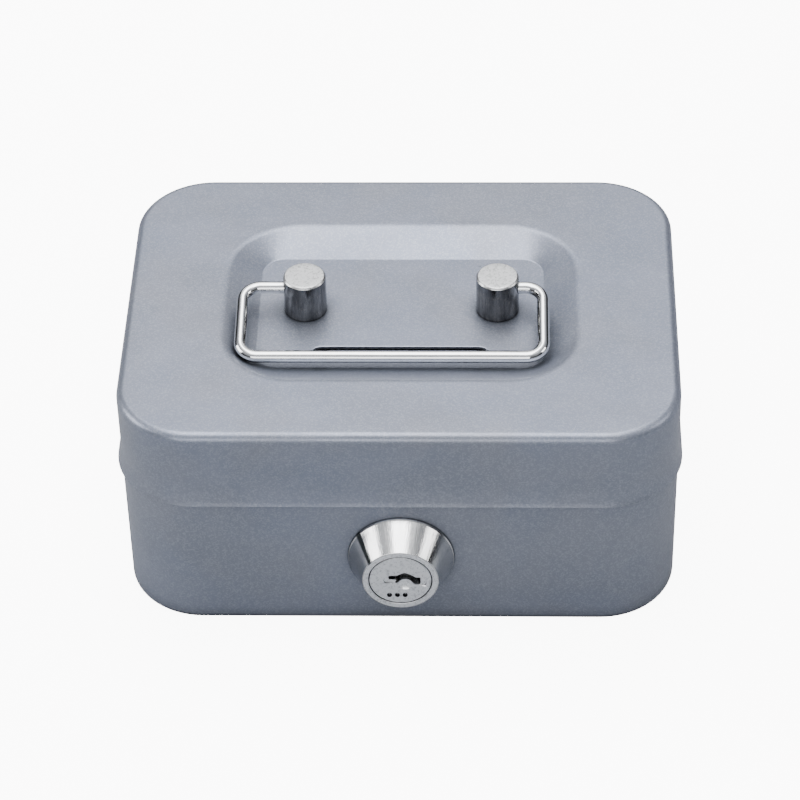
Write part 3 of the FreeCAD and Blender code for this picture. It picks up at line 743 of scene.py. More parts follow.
@dataclass(frozen=True)
class Finish:
    """Base of every surface finish.

    Args:
        name: Material name.
    """

    name: str

    def start(self) -> tuple[bpy.types.Material, Wiring, bpy.types.Node, bpy.types.NodeSocket]:
        """Make the empty material.

        Returns:
            Material, wiring, Principled node and object coordinate socket.
        """
        material = bpy.data.materials.new(self.name)
        material.use_nodes = True
        tree = material.node_tree
        tree.nodes.clear()
        wires = Wiring(tree)
        shader = wires.node("ShaderNodeBsdfPrincipled")
        output = wires.node("ShaderNodeOutputMaterial")
        tree.links.new(shader.outputs[0], output.inputs[0])
        position = wires.node("ShaderNodeTexCoord").outputs["Object"]
        return material, wires, shader, position

    @staticmethod
    def use(wires: Wiring, group: bpy.types.NodeTree, values: dict) -> bpy.types.Node:
        """Place a shared effect.

        Args:
            wires: Material wiring.
            group: Effect node group.
            values: Its inputs.

        Returns:
            The group node.
        """
        made = wires.node("ShaderNodeGroup", node_tree=group)
        for key, value in values.items():
            wires.feed(made.inputs[key], value)
        return made

    def painted_shade(self, wires: Wiring, effects: Effects, colour: bpy.types.NodeSocket, reach: float,
                  clear: float, share: float, shade: tuple) -> bpy.types.NodeSocket:
        """Paint shade into a colour where another surface stands close by.

        Args:
            wires: Material wiring.
            effects: Shared effect groups.
            colour: Colour in the open.
            reach: How far off a surface still counts, in metres.
            clear: Open share above which nothing is darkened.
            share: Strength.
            shade: Colour of the painted shade.

        Returns:
            Colour socket.
        """
        # The mask marks painted shade near other surfaces.
        joints = self.use(wires, effects.crevice_shade, {"Reach": reach, "Clear": clear}).outputs["Mask"]
        return wires.mix(wires.math("MULTIPLY", joints, share), colour, shade)

    @staticmethod
    def relief(wires: Wiring, shader: bpy.types.Node, layers: list[tuple[object, float, float]]) -> None:
        """Stack bump layers onto the shader's normal.

        Args:
            wires: Material wiring.
            shader: Principled node.
            layers: Height socket, strength and depth in metres of each layer.
        """
        normal = None
        for height, strength, depth in layers:
            values = {"Height": height, "Strength": strength, "Distance": depth}
            if normal is not None:
                values["Normal"] = normal
            normal = wires.node("ShaderNodeBump", values).outputs["Normal"]
        wires.feed(shader.inputs["Normal"], normal)


@dataclass(frozen=True)
class SatinLacquer(Finish):
    """Silver-grey sprayed lacquer with metal flake."""

    colour: tuple[float, float, float, float] = (0.252, 0.276, 0.348, 1)
    light: tuple[float, float, float, float] = (0.37, 0.395, 0.465, 1)
    bare: tuple[float, float, float, float] = (0.62, 0.63, 0.65, 1)
    speck: tuple[float, float, float, float] = (0.12, 0.12, 0.13, 1)
    # The shade colour below is painted shade near other surfaces.
    shade: tuple[float, float, float, float] = (0.035, 0.04, 0.05, 1)
    metal: float = 0.60
    gloss: float = 0.37
    rub: float = 0.45

    def build(self, effects: Effects) -> bpy.types.Material:
        """Wire the material.

        Args:
            effects: Shared effect groups.

        Returns:
            The material.
        """
        material, w, shader, at = self.start()
        grain = self.use(w, effects.grain, {"Position": at})
        tint = self.use(w, effects.clouds, {"Position": at, "Color": self.colour, "Amount": 1.2})
        fleck = w.spread(grain.outputs["Fleck"], 0.45, 1.0, 0.0, 0.55)
        flaked = w.mix(fleck, tint.outputs["Color"], self.light)
        specks = self.use(w, effects.specks, {"Position": at, "Scale": 230.0, "Rarity": 0.965})
        dusted = w.mix(w.math("MULTIPLY", specks.outputs["Mask"], 0.5), flaked, self.speck)
        worn = self.use(w, effects.worn_edges, {"Position": at, "Low": 0.535, "High": 0.60})
        rubbed = w.mix(w.math("MULTIPLY", worn.outputs["Mask"], self.rub), dusted, self.bare)
        # Painted shade in two reaches: a wide one under the bail and round the posts, a narrow one in joints
        # such as under the rim.
        near = self.painted_shade(w, effects, rubbed, 0.006, 0.97, 0.85, self.shade)
        w.feed(shader.inputs["Base Color"], self.painted_shade(w, effects, near, 0.0016, 0.70, 0.85, self.shade))
        haze = w.noise(at, 45.0, 5.0, 0.6, 0.4)
        w.feed(shader.inputs["Roughness"], w.spread(haze, 0.3, 0.7, self.gloss - 0.03, self.gloss + 0.05))
        shader.inputs["Metallic"].default_value = self.metal
        shader.inputs["Coat Weight"].default_value = 0.12
        shader.inputs["Coat Roughness"].default_value = 0.22
        ripple = w.noise(at, 55.0, 2.0, 0.5)
        self.relief(w, shader, [(ripple, 0.22, 0.0016), (grain.outputs["Height"], 0.20, 0.00012)])
        return material


@dataclass(frozen=True)
class BrightPlate(Finish):
    """Bright chrome plate with light haze, pits and hairlines, painted reflection streaks where their share
    is set, and painted shade in joints.
    """

    colour: tuple[float, float, float, float] = (0.855, 0.868, 0.885, 1)
    tarnish: tuple[float, float, float, float] = (0.66, 0.62, 0.54, 1)
    gloss: float = 0.07
    # Share of the painted reflection streaks.
    painted_reflection_share: float = 0.0
    lines: tuple[float, float, float] = (1.0, 30.0, 30.0)
    # Stretch and tone of the painted reflection streaks.
    reflection_stretch: tuple[float, float, float] = (1.0, 1.0, 1.0)
    painted_reflection_tone: tuple[float, float, float, float] = (0.05, 0.05, 0.055, 1)
    shade: tuple[float, float, float, float] = (0.02, 0.02, 0.022, 1)

    def build(self, effects: Effects) -> bpy.types.Material:
        """Wire the material.

        Args:
            effects: Shared effect groups.

        Returns:
            The material.
        """
        material, w, shader, at = self.start()
        haze = self.use(w, effects.smudges, {"Position": at}).outputs["Mask"]
        lines = self.use(w, effects.scratches, {"Position": at, "Stretch": self.lines, "Scale": 260.0})
        pits = self.use(w, effects.specks, {"Position": at, "Scale": 900.0, "Rarity": 0.90})
        toned = w.mix(w.math("MULTIPLY", haze, 0.28), self.colour, self.tarnish)
        pitted = w.mix(w.math("MULTIPLY", pits.outputs["Mask"], 0.6), toned, PIT)
        # Painted reflection streaks: stretched darker patches that stand for reflections on the plate.
        painted_reflection_streaks = w.spread(w.noise(w.vector("MULTIPLY", at, self.reflection_stretch), 900.0, 5.0, 0.7, 0.2), 0.40, 0.64)
        uneven = w.mix(w.math("MULTIPLY", painted_reflection_streaks, self.painted_reflection_share), pitted, self.painted_reflection_tone)
        # Painted shade where another surface is close.
        w.feed(shader.inputs["Base Color"], self.painted_shade(w, effects, uneven, 0.0012, 0.75, 0.9, self.shade))
        rough = w.math("MULTIPLY_ADD", haze, 0.13, self.gloss)
        w.feed(shader.inputs["Roughness"], w.math("MULTIPLY_ADD", lines.outputs["Mask"], 0.12, rough))
        shader.inputs["Metallic"].default_value = 1.0
        wave = w.noise(at, 420.0, 3.0, 0.5)
        self.relief(w, shader, [(wave, 0.09, 0.00022), (lines.outputs["Height"], 0.05, 0.00006),
                                (pits.outputs["Mask"], -0.3, 0.00004)])
        return material


@dataclass(frozen=True)
class ConeChrome(Finish):
    """Polished chrome on a turned cone, with painted reflections: streaks that run from its edge to its face,
    a dark band and darker flanks.

    Args:
        centre: Point on the turning axis, in metres.
    """

    centre: tuple[float, float, float] = (0.0, 0.0, 0.0)
    colour: tuple[float, float, float, float] = (0.88, 0.885, 0.89, 1)
    # The next two tones are painted reflection tones: the first for the streaks, the deeper one for the dark
    # band and flanks, whose turn is set below.
    dark: tuple[float, float, float, float] = (0.42, 0.43, 0.44, 1)
    painted_reflection_dark: tuple[float, float, float, float] = (0.06, 0.07, 0.07, 1)
    shade: tuple[float, float, float, float] = (0.015, 0.015, 0.017, 1)
    reflected_band_at: float = 0.92
    gloss: float = 0.12

    def build(self, effects: Effects) -> bpy.types.Material:
        """Wire the material.

        Args:
            effects: Shared effect groups.

        Returns:
            The material.
        """
        material, w, shader, at = self.start()
        parts = w.node("ShaderNodeSeparateXYZ", {"Vector": w.vector("SUBTRACT", at, self.centre)})
        turn = w.math("ARCTAN2", parts.outputs["X"], parts.outputs["Z"])
        along = w.math("MULTIPLY", parts.outputs["Y"], 12.0)
        way = w.node("ShaderNodeCombineXYZ", {"X": turn, "Y": along}).outputs[0]
        # Painted reflections: streaks along the cone from edge to face, a dark band at one turn and darker
        # flanks to the left and right.
        broad = w.noise(way, 4.5, 3.0, 0.55)
        fine = w.noise(way, 26.0, 3.0, 0.6)
        reflection_streak = w.spread(w.math("MULTIPLY_ADD", fine, 0.45, w.math("MULTIPLY", broad, 0.75)), 0.50, 0.80)
        band = w.spread(w.math("ABSOLUTE", w.math("ADD", turn, self.reflected_band_at)), 0.10, 0.03)
        left = w.spread(turn, -0.95, -1.20, 0.0, 0.5)
        right = w.spread(turn, 0.25, 0.95, 0.0, 0.2)
        painted_reflection_mask = w.math("MAXIMUM", w.math("MAXIMUM", left, right), w.math("MULTIPLY", band, 0.97))
        pits = self.use(w, effects.specks, {"Position": at, "Scale": 1100.0, "Rarity": 0.88})
        reflection_hairlines = w.spread(w.noise(way, 62.0, 2.0, 0.6), 0.55, 0.70, 0.0, 0.35)
        reflection_streaked = w.mix(w.math("MULTIPLY_ADD", reflection_streak, 0.32, reflection_hairlines), self.colour, self.dark)
        toned = w.mix(painted_reflection_mask, reflection_streaked, self.painted_reflection_dark)
        pitted = w.mix(w.math("MULTIPLY", pits.outputs["Mask"], 0.5), toned, PIT)
        # Painted shade where another surface is close.
        w.feed(shader.inputs["Base Color"],
               self.painted_shade(w, effects, pitted, 0.0016, 0.75, 0.95, self.shade))
        w.feed(shader.inputs["Roughness"], w.math("MULTIPLY_ADD", fine, 0.12, self.gloss - 0.04))
        shader.inputs["Metallic"].default_value = 1.0
        wave = w.noise(at, 380.0, 2.0, 0.5)
        self.relief(w, shader, [(fine, 0.20, 0.00016), (wave, 0.10, 0.0002)])
        return material


@dataclass(frozen=True)
class TurnedSatin(Finish):
    """Faced metal with rings from the tool and fine wiping lines.

    Args:
        centre: Axis point in metres.
        along: Index of the axis, 0 to 2.
    """

    centre: tuple[float, float, float] = (0.0, 0.0, 0.0)
    along: int = 1
    colour: tuple[float, float, float, float] = (0.955, 0.97, 0.99, 1)
    dull: tuple[float, float, float, float] = (0.80, 0.815, 0.835, 1)
    dark: tuple[float, float, float, float] = (0.40, 0.41, 0.41, 1)
    shade: tuple[float, float, float, float] = (0.012, 0.012, 0.013, 1)
    coarse: float = 0.55
    gloss: float = 0.30

    def build(self, effects: Effects) -> bpy.types.Material:
        """Wire the material.

        Args:
            effects: Shared effect groups.

        Returns:
            The material.
        """
        material, w, shader, at = self.start()
        keep = [1.0, 1.0, 1.0]
        keep[self.along] = 0.0
        flat = w.vector("MULTIPLY", w.vector("SUBTRACT", at, self.centre), tuple(keep))
        radius = w.node("ShaderNodeVectorMath", {0: flat}, operation="LENGTH").outputs["Value"]
        ring_at = w.node("ShaderNodeCombineXYZ", {"X": radius}).outputs[0]
        rings = w.noise(ring_at, 5200.0, 2.0, 0.6)
        lines = self.use(w, effects.scratches, {"Position": at, "Stretch": (26.0, 26.0, 1.0), "Scale": 330.0})
        haze = self.use(w, effects.smudges, {"Position": at}).outputs["Mask"]
        grit = w.noise(at, 1500.0, 5.0, 0.75, 0.4)
        tone = w.math("MULTIPLY_ADD", lines.outputs["Mask"], 0.35, w.math("MULTIPLY", haze, 0.5), clamp=True)
        base = w.mix(tone, self.colour, self.dull)
        gritty = w.mix(w.spread(grit, 0.48, 0.64, 0.0, self.coarse), base, self.dark)
        # Painted shade where another surface is close.
        w.feed(shader.inputs["Base Color"],
               self.painted_shade(w, effects, gritty, 0.0022, 0.72, 0.97, self.shade))
        w.feed(shader.inputs["Roughness"], w.math("MULTIPLY_ADD", rings, 0.12, self.gloss - 0.04))
        shader.inputs["Metallic"].default_value = 1.0
        self.relief(w, shader, [(rings, 0.12, 0.00005), (lines.outputs["Height"], 0.25, 0.00005),
                                (grit, 0.15, 0.00005)])
        return material


@dataclass(frozen=True)
class ZincPlate(Finish):
    """Clear zinc plate, slightly blue and mottled."""

    colour: tuple[float, float, float, float] = (0.56, 0.575, 0.61, 1)
    dull: tuple[float, float, float, float] = (0.42, 0.43, 0.45, 1)
    bare: tuple[float, float, float, float] = (0.72, 0.72, 0.73, 1)

    def build(self, effects: Effects) -> bpy.types.Material:
        """Wire the material.

        Args:
            effects: Shared effect groups.

        Returns:
            The material.
        """
        material, w, shader, at = self.start()
        patch = w.spread(w.noise(at, 260.0, 4.0, 0.6, 0.5), 0.35, 0.68)
        lines = self.use(w, effects.scratches, {"Position": at, "Stretch": (1.0, 24.0, 24.0), "Scale": 280.0})
        worn = self.use(w, effects.worn_edges, {"Position": at, "Low": 0.53, "High": 0.60})
        base = w.mix(w.math("MULTIPLY", patch, 0.7), self.colour, self.dull)
        w.feed(shader.inputs["Base Color"],
               w.mix(w.math("MULTIPLY", worn.outputs["Mask"], 0.5), base, self.bare))
        w.feed(shader.inputs["Roughness"], w.spread(patch, 0.0, 1.0, 0.28, 0.44))
        shader.inputs["Metallic"].default_value = 1.0
        self.relief(w, shader, [(lines.outputs["Height"], 0.2, 0.00005), (patch, 0.08, 0.0001)])
        return material


@dataclass(frozen=True)
class StampedBrass(Finish):
    """Dull stamped brass."""

    colour: tuple[float, float, float, float] = (0.72, 0.53, 0.26, 1)
    dull: tuple[float, float, float, float] = (0.46, 0.34, 0.19, 1)

    def build(self, effects: Effects) -> bpy.types.Material:
        """Wire the material.

        Args:
            effects: Shared effect groups.

        Returns:
            The material.
        """
        material, w, shader, at = self.start()
        patch = w.spread(w.noise(at, 500.0, 4.0, 0.6), 0.35, 0.7)
        w.feed(shader.inputs["Base Color"], w.mix(patch, self.colour, self.dull))
        w.feed(shader.inputs["Roughness"], w.spread(patch, 0.0, 1.0, 0.3, 0.5))
        shader.inputs["Metallic"].default_value = 1.0
        self.relief(w, shader, [(patch, 0.1, 0.0001)])
        return material


@dataclass(frozen=True)
class StudioFloor(Finish):
    """Plain pale floor with the faintest paper tooth."""

    shown: tuple[float, float, float, float] = (0.93, 0.93, 0.93, 1)
    bounced: tuple[float, float, float, float] = (0.37, 0.38, 0.40, 1)
    glow: float = 9.0

    def build(self) -> bpy.types.Material:
        """Wire the material.

        Returns:
            The material.
        """
        material, w, shader, at = self.start()
        tooth = w.noise(at, 60.0, 4.0, 0.6)
        seen = w.node("ShaderNodeLightPath").outputs["Is Camera Ray"]
        pale = w.mix(w.spread(tooth, 0.3, 0.7, 0.0, 0.02), self.shown, self.bounced)
        w.feed(shader.inputs["Base Color"], w.mix(seen, self.bounced, pale))
        shader.inputs["Roughness"].default_value = 0.9
        shader.inputs["Specular IOR Level"].default_value = 0.0
        w.feed(shader.inputs["Emission Color"], w.mix(seen, (0, 0, 0, 1), (1, 1, 1, 1)))
        shader.inputs["Emission Strength"].default_value = self.glow
        self.relief(w, shader, [(tooth, 0.05, 0.0002)])
        return material


# -------------------------------------------------------------------------------------------- pieces
def attach(piece: bpy.types.Object, body: Body, materials: list[bpy.types.Material],
           replaced: tuple[str, ...] = ()) -> None:
    """Give a piece its finish and the body it moves with.

    Args:
        piece: Mesh object.
        body: Body it rides on.
        materials: Materials in index order.
        replaced: CAD nodes it stands for.
    """
    picked = [polygon.material_index for polygon in piece.data.polygons]
    piece.data.materials.clear()
    for material in materials:
        piece.data.materials.append(material)
    piece.data.polygons.foreach_set("material_index", [min(i, len(materials) - 1) for i in picked])
    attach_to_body(piece, body.value)
    if replaced:
        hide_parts(*replaced)
    LOG.info("%s: %d faces on %s", piece.name, len(piece.data.polygons), body.value)


@dataclass
class LidShell:
    """Lid pressing: flared rim, skirt, rounded top and the dish with its coin slot. Sizes in millimetres."""

    sheet: float = 0.7
    corner: float = 17.3
    edge: float = 2.0
    flare_height: float = 4.6
    flare_out: float = 0.9
    lip: float = 0.12
    hem: float = 0.25
    hem_profile: tuple[tuple[float, float], ...] = (
        (-0.67, 0.1), (-0.58, 0.02), (-0.22, 0.0), (-0.06, 0.04), (0.0, 0.14))
    dish: RoundRect = field(default_factory=lambda: RoundRect(40.5, 27.4, 17.0, 0.5))
    dish_run: float = 8.1
    dish_drop: float = 3.5
    dish_floor_corner: float = 5.0
    brow: float = 5.0
    toe: float = 1.3
    slot_length: float = 40.0
    slot_width: float = 4.6
    slot_y: float = -13.7
    roll_width: float = 0.34
    roll_drop: float = 0.09
    hinge_gap: float = 31.0
    gap_height: float = 2.8
    gap_reach: float = 3.0

    def build(self) -> bpy.types.Object:
        """Model the pressing.

        Returns:
            The mesh object.
        """
        low, high = (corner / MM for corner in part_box("lid_shell"))
        half_x, half_y = high.x - self.flare_out, high.y - self.flare_out
        outline = RoundRect(half_x, half_y, self.corner)
        rim, top = low.z, high.z
        outer = self._skirt(outline, rim, top, 0.0)
        inner = self._skirt(outline, rim, top, self.sheet)
        under = self._dish(top - self.sheet, self._spread())
        over = self._dish(top, 0.0)
        bridge = self._crown(outer[-1][0], over[0][0], top)
        bridge_under = self._crown(inner[-1][0], under[0][0], top - self.sheet)
        path = list(reversed(under)) + list(reversed(bridge_under)) + list(reversed(inner))
        path += self._rim(outline, rim) + outer + bridge + over
        work = Sculptor()
        work.skin([outline.ring(z) for outline, z in path])
        lid = work.finish("lid_pressing")
        centre = Matrix.Translation((0, self.slot_y, top - self.dish_drop - self.sheet / 2))
        carve(lid, self._slot_cutter(centre))
        near, far = half_y - self.gap_reach, half_y + self.gap_reach
        gap = [(-self.hinge_gap, near), (self.hinge_gap, near), (self.hinge_gap, far), (-self.hinge_gap, far)]
        carve(lid, prism("gap_cutter", gap, rim - 1, rim + self.gap_height))
        return lid

    def _slot_cutter(self, centre: Matrix) -> bpy.types.Object:
        """Cutter of the coin slot, its top opened out to leave a rolled edge.

        Args:
            centre: Placement at the middle of the sheet.

        Returns:
            Cutter object.
        """
        surface, reach = self.sheet / 2, 2.0
        levels = ((0.0, -reach), (0.0, surface - self.roll_drop),
                  (self.roll_width * 0.35, surface - self.roll_drop * 0.4),
                  (self.roll_width, surface), (self.roll_width, reach))
        rings = []
        for by, z in levels:
            outline = obround(self.slot_length + 2 * by, self.slot_width + 2 * by)
            rings.append([Vector((x, y, z)) for x, y in outline])
        work = Sculptor()
        work.skin(rings)
        return work.finish("slot_cutter", place=centre)

    def _spread(self) -> float:
        """Outward shift of the underside so that the slope keeps its thickness.

        Returns:
            Shift in millimetres.
        """
        return math.tan(math.atan(self.dish_drop / self.dish_run) / 2) * self.sheet

    def _skirt(self, outline: RoundRect, rim: float, top: float,
               depth: float) -> list[tuple[RoundRect, float]]:
        """Skirt from just above the rim to the start of the flat top.

        Args:
            outline: Nominal outline.
            rim: Rim height.
            top: Top height.
            depth: Distance inside the outer surface.

        Returns:
            Outline and height of each ring.
        """
        path = []
        flare_steps, wall_steps = 8, 6
        for step in range(flare_steps + 1):
            share = step / flare_steps
            ease = share * (1.7 - 0.7 * share)
            lip = self.lip if step == 0 else 0.0
            path.append((outline.grown((self.flare_out - self.lip) * (1 - ease) + lip - depth),
                         rim + self.hem + (self.flare_height - self.hem) * share))
        radius = self.edge - depth
        rise, waist = top - self.edge, rim + self.flare_height
        for step in range(1, wall_steps):
            path.append((outline.grown(-depth), waist + (rise - waist) * step / wall_steps))
        for y, z in arc((0, 0), radius, 0, 90, 9):
            path.append((outline.grown(y - radius - depth), rise + z))
        return path

    def _rim(self, outline: RoundRect, rim: float) -> list[tuple[RoundRect, float]]:
        """Rounded lower edge of the flare.

        Args:
            outline: Nominal outline.
            rim: Rim height.

        Returns:
            Outline and height of each ring, from inside to outside.
        """
        return [(outline.grown(self.flare_out + by), rim + up) for by, up in self.hem_profile]

    def _crown(self, start: RoundRect, end: RoundRect, level: float) -> list[tuple[RoundRect, float]]:
        """Flat band between the rounded edge and the dish.

        Args:
            start: Outer outline.
            end: Inner outline.
            level: Height.

        Returns:
            Outline and height of each ring between the two.
        """
        steps = 7
        return [(start.towards(end, step / steps), level) for step in range(1, steps)]

    def _dish(self, level: float, spread: float) -> list[tuple[RoundRect, float]]:
        """Dish from its soft outer edge down to the floor.

        Args:
            level: Height of the surface round the dish.
            spread: Outward shift of every outline.

        Returns:
            Outline and height of each ring.
        """
        slope = math.atan(self.dish_drop / self.dish_run)
        brow_reach, toe_reach = self.brow * math.tan(slope / 2), self.toe * math.tan(slope / 2)
        path = []
        slope_steps, toe_steps = 8, 5
        for step in range(slope_steps + 1):
            turn = slope * step / slope_steps
            path.append((-brow_reach + self.brow * math.sin(turn), self.brow * (1 - math.cos(turn))))
        end = self.dish_run - toe_reach * math.cos(slope)
        start = path[-1][0]
        for step in range(1, slope_steps + 1):
            inset = start + (end - start) * step / slope_steps
            path.append((inset, inset * math.tan(slope)))
        for step in range(1, toe_steps + 1):
            turn = slope * (1 - step / toe_steps)
            path.append((self.dish_run + toe_reach - self.toe * math.sin(turn),
                         self.dish_drop - self.toe * (1 - math.cos(turn))))
        rings = []
        for inset, drop in path:
            share = max(0.0, min(1.0, inset / self.dish_run))
            corner = self.dish.radius + (self.dish_floor_corner - self.dish.radius) * share
            corner -= min(inset, 0.0) + max(inset - self.dish_run, 0.0)
            rings.append((RoundRect(self.dish.half_x - inset + spread, self.dish.half_y - inset + spread,
                                    corner + spread, self.dish.centre_y), level - drop))
        return rings

    def dress(self, lid: bpy.types.Object, paint: bpy.types.Material) -> None:
        """Paint the lid and hang it on its body.

        Args:
            lid: The mesh object.
            paint: Lacquer material.
        """
        attach(lid, Body.LID, [paint], ("lid_shell",))


@dataclass
class BaseShell:
    """Base pressing: round-edged tray, shoulder, neck and rolled bead. Sizes in millimetres."""

    sheet: float = 0.7
    corner: float = 17.3
    edge: float = 2.0
    shoulder: float = 1.6
    shoulder_level: float = 36.0
    blend: float = 0.3
    bead: float = 1.0
    hole_radius: float = 8.06
    hole_half_flat: float = 7.06

    def build(self, lock_axis: Vector) -> bpy.types.Object:
        """Model the pressing.

        Args:
            lock_axis: Point where the lock axis meets the wall, metres.

        Returns:
            The mesh object.
        """
        low, high = (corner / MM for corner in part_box("base_shell"))
        outline = RoundRect(high.x, high.y, self.corner)
        brim = high.z - self.bead
        outer = [(outline.grown(x - self.edge), low.z + self.edge + z)
                 for x, z in arc((0, 0), self.edge, -90, 0, 9)]
        wall_end = self.shoulder_level - self.blend
        neck = self.shoulder_level + self.shoulder
        rise, wall_steps = wall_end - self.edge, 8
        outer += [(outline, self.edge + rise * step / wall_steps) for step in range(1, wall_steps + 1)]
        outer += [(outline.grown(-0.1), self.shoulder_level),
                  (outline.grown(0.1 - self.shoulder), neck - 0.2),
                  (outline.grown(-self.shoulder), neck + 0.1)]
        outer += [(outline.grown(x - self.bead - self.shoulder), brim + z)
                  for x, z in arc((0, 0), self.bead, 0, 250, 16)]
        inner = [(outline.grown(-self.shoulder - self.sheet), neck - self.blend),
                 (outline.grown(-self.sheet), wall_end)]
        inner_steps = 5
        inner += [(outline.grown(-self.sheet), self.edge + (rise - self.blend) * (1 - step / inner_steps))
                  for step in range(1, inner_steps + 1)]
        inside = self.edge - self.sheet
        inner += [(outline.grown(x - inside - self.sheet), low.z + self.edge + z)
                  for x, z in arc((0, 0), inside, 0, -90, 7)]
        work = Sculptor()
        work.skin([outline.ring(z) for outline, z in outer + inner])
        base = work.finish("base_pressing")
        flat = self.hole_half_flat
        ring = [(self.hole_radius * cos, max(-flat, min(flat, self.hole_radius * sin)))
                for cos, sin in round_points(60)]
        carve(base, prism("hole_cutter", ring, -3, 3, wall_frame(lock_axis)))
        return base

    def dress(self, base: bpy.types.Object, paint: bpy.types.Material) -> None:
        """Paint the base.

        Args:
            base: The mesh object.
            paint: Lacquer material.
        """
        attach(base, Body.BASE, [paint], ("base_shell",))


@dataclass
class Bail:
    """Bent wire handle, open between its two feet. Sizes in millimetres."""

    wire: float = 1.4
    corner: float = 4.0
    foot: float = 22.6
    half_width: float = 34.0
    reach: float = 20.6
    tilt: float = 9.05
    side_play: float = -1.8
    end_break: float = 0.25
    end_length: float = 0.3

    def build(self, pivot: Vector) -> bpy.types.Object:
        """Bend the wire.

        Args:
            pivot: Point on the pivot line, metres.

        Returns:
            The mesh object.
        """
        half, c, reach = self.half_width, self.corner, self.reach
        bend_steps, leg_steps, grip_steps = 14, 4, 16
        line: list[tuple[float, float]] = [(-self.foot, 0), (-self.foot - self.end_length, 0)]
        line += arc((c - half, -c), c, 90, 180, bend_steps)
        line += [(-half, -c - (reach - 2 * c) * s / leg_steps) for s in range(1, leg_steps)]
        line += arc((c - half, c - reach), c, 180, 270, bend_steps)
        line += [(c - half + 2 * (half - c) * s / grip_steps, -reach) for s in range(1, grip_steps)]
        line += arc((half - c, c - reach), c, 270, 360, bend_steps)
        line += [(half, c - reach + (reach - 2 * c) * s / leg_steps) for s in range(1, leg_steps)]
        line += arc((half - c, -c), c, 0, 90, bend_steps)
        line += [(self.foot + self.end_length, 0), (self.foot, 0)]
        spots = [Vector((x, y, 0)) for x, y in line]
        rings = []
        for i, spot in enumerate(spots):
            ahead = (spots[min(i + 1, len(spots) - 1)] - spots[max(i - 1, 0)]).normalized()
            side = Vector((0, 0, 1)).cross(ahead)
            thin = self.wire - (self.end_break if i in (0, len(spots) - 1) else 0.0)
            rings.append([spot + side * (thin * cos) + Vector((0, 0, thin * sin))
                          for cos, sin in round_points(32)])
        work = Sculptor()
        work.skin(rings)
        place = Matrix.Translation((self.side_play, pivot.y / MM, pivot.z / MM))
        place = place @ Matrix.Rotation(math.radians(self.tilt), 4, "X")
        bail = work.finish("bail_wire", place=place)
        merge_close(bail)
        return bail

    def dress(self, bail: bpy.types.Object, chrome: bpy.types.Material) -> None:
        """Plate the bail.

        Args:
            bail: The mesh object.
            chrome: Plate material.
        """
        attach(bail, Body.BAIL, [chrome], ("handle_bail",))


@dataclass
class Post:
    """Turned handle post with a plated side in a painted dark reflection tone and a faced top. Sizes in
    millimetres.
    """

    node: str
    tone: float
    bevel: float = 0.42

    def build(self) -> bpy.types.Object:
        """Turn the post.

        Returns:
            The mesh object.
        """
        low, high = (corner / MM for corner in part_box(self.node))
        radius, height = (high.x - low.x) / 2, high.z - low.z
        b = self.bevel
        side = [(0, 0), (radius - 0.12, 0), (radius, 0.14), (radius, 1.2), (radius, height * 0.5),
                (radius, height - b - 0.05), (radius - 0.02, height - b + 0.02)]
        top = [(radius - b + 0.10, height - 0.10), (radius - b - 0.02, height - 0.01),
               (radius - b - 0.10, height), (radius * 0.6, height), (0, height)]
        spot = Vector(((low.x + high.x) / 2, (low.y + high.y) / 2, low.z))
        finishes = [0] * (len(side) - 1) + [1] * len(top)
        return lathe(f"{self.node}_turned", side + top, 72, Matrix.Translation(spot), finishes)

    def dress(self, post: bpy.types.Object, effects: Effects) -> None:
        """Plate the side, coloured in painted dark reflection with painted reflection streaks, and face the
        top.

        Args:
            post: The mesh object.
            effects: Shared effect groups.
        """
        low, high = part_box(self.node)
        # The side's colour is a painted dark reflection, much darker than chrome, with painted vertical
        # reflection streaks.
        side = BrightPlate(f"{self.node}_side", colour=(self.tone, self.tone, self.tone, 1), gloss=0.16,
                           painted_reflection_share=0.5, lines=(30.0, 30.0, 1.0), reflection_stretch=(0.8, 0.8, 0.12))
        top = TurnedSatin(f"{self.node}_top", centre=tuple((low + high) / 2), along=2, coarse=0.9,
                          colour=(0.76, 0.765, 0.77, 1))
        materials = [side.build(effects), top.build(effects)]
        attach(post, Body.LID, materials, (self.node,))


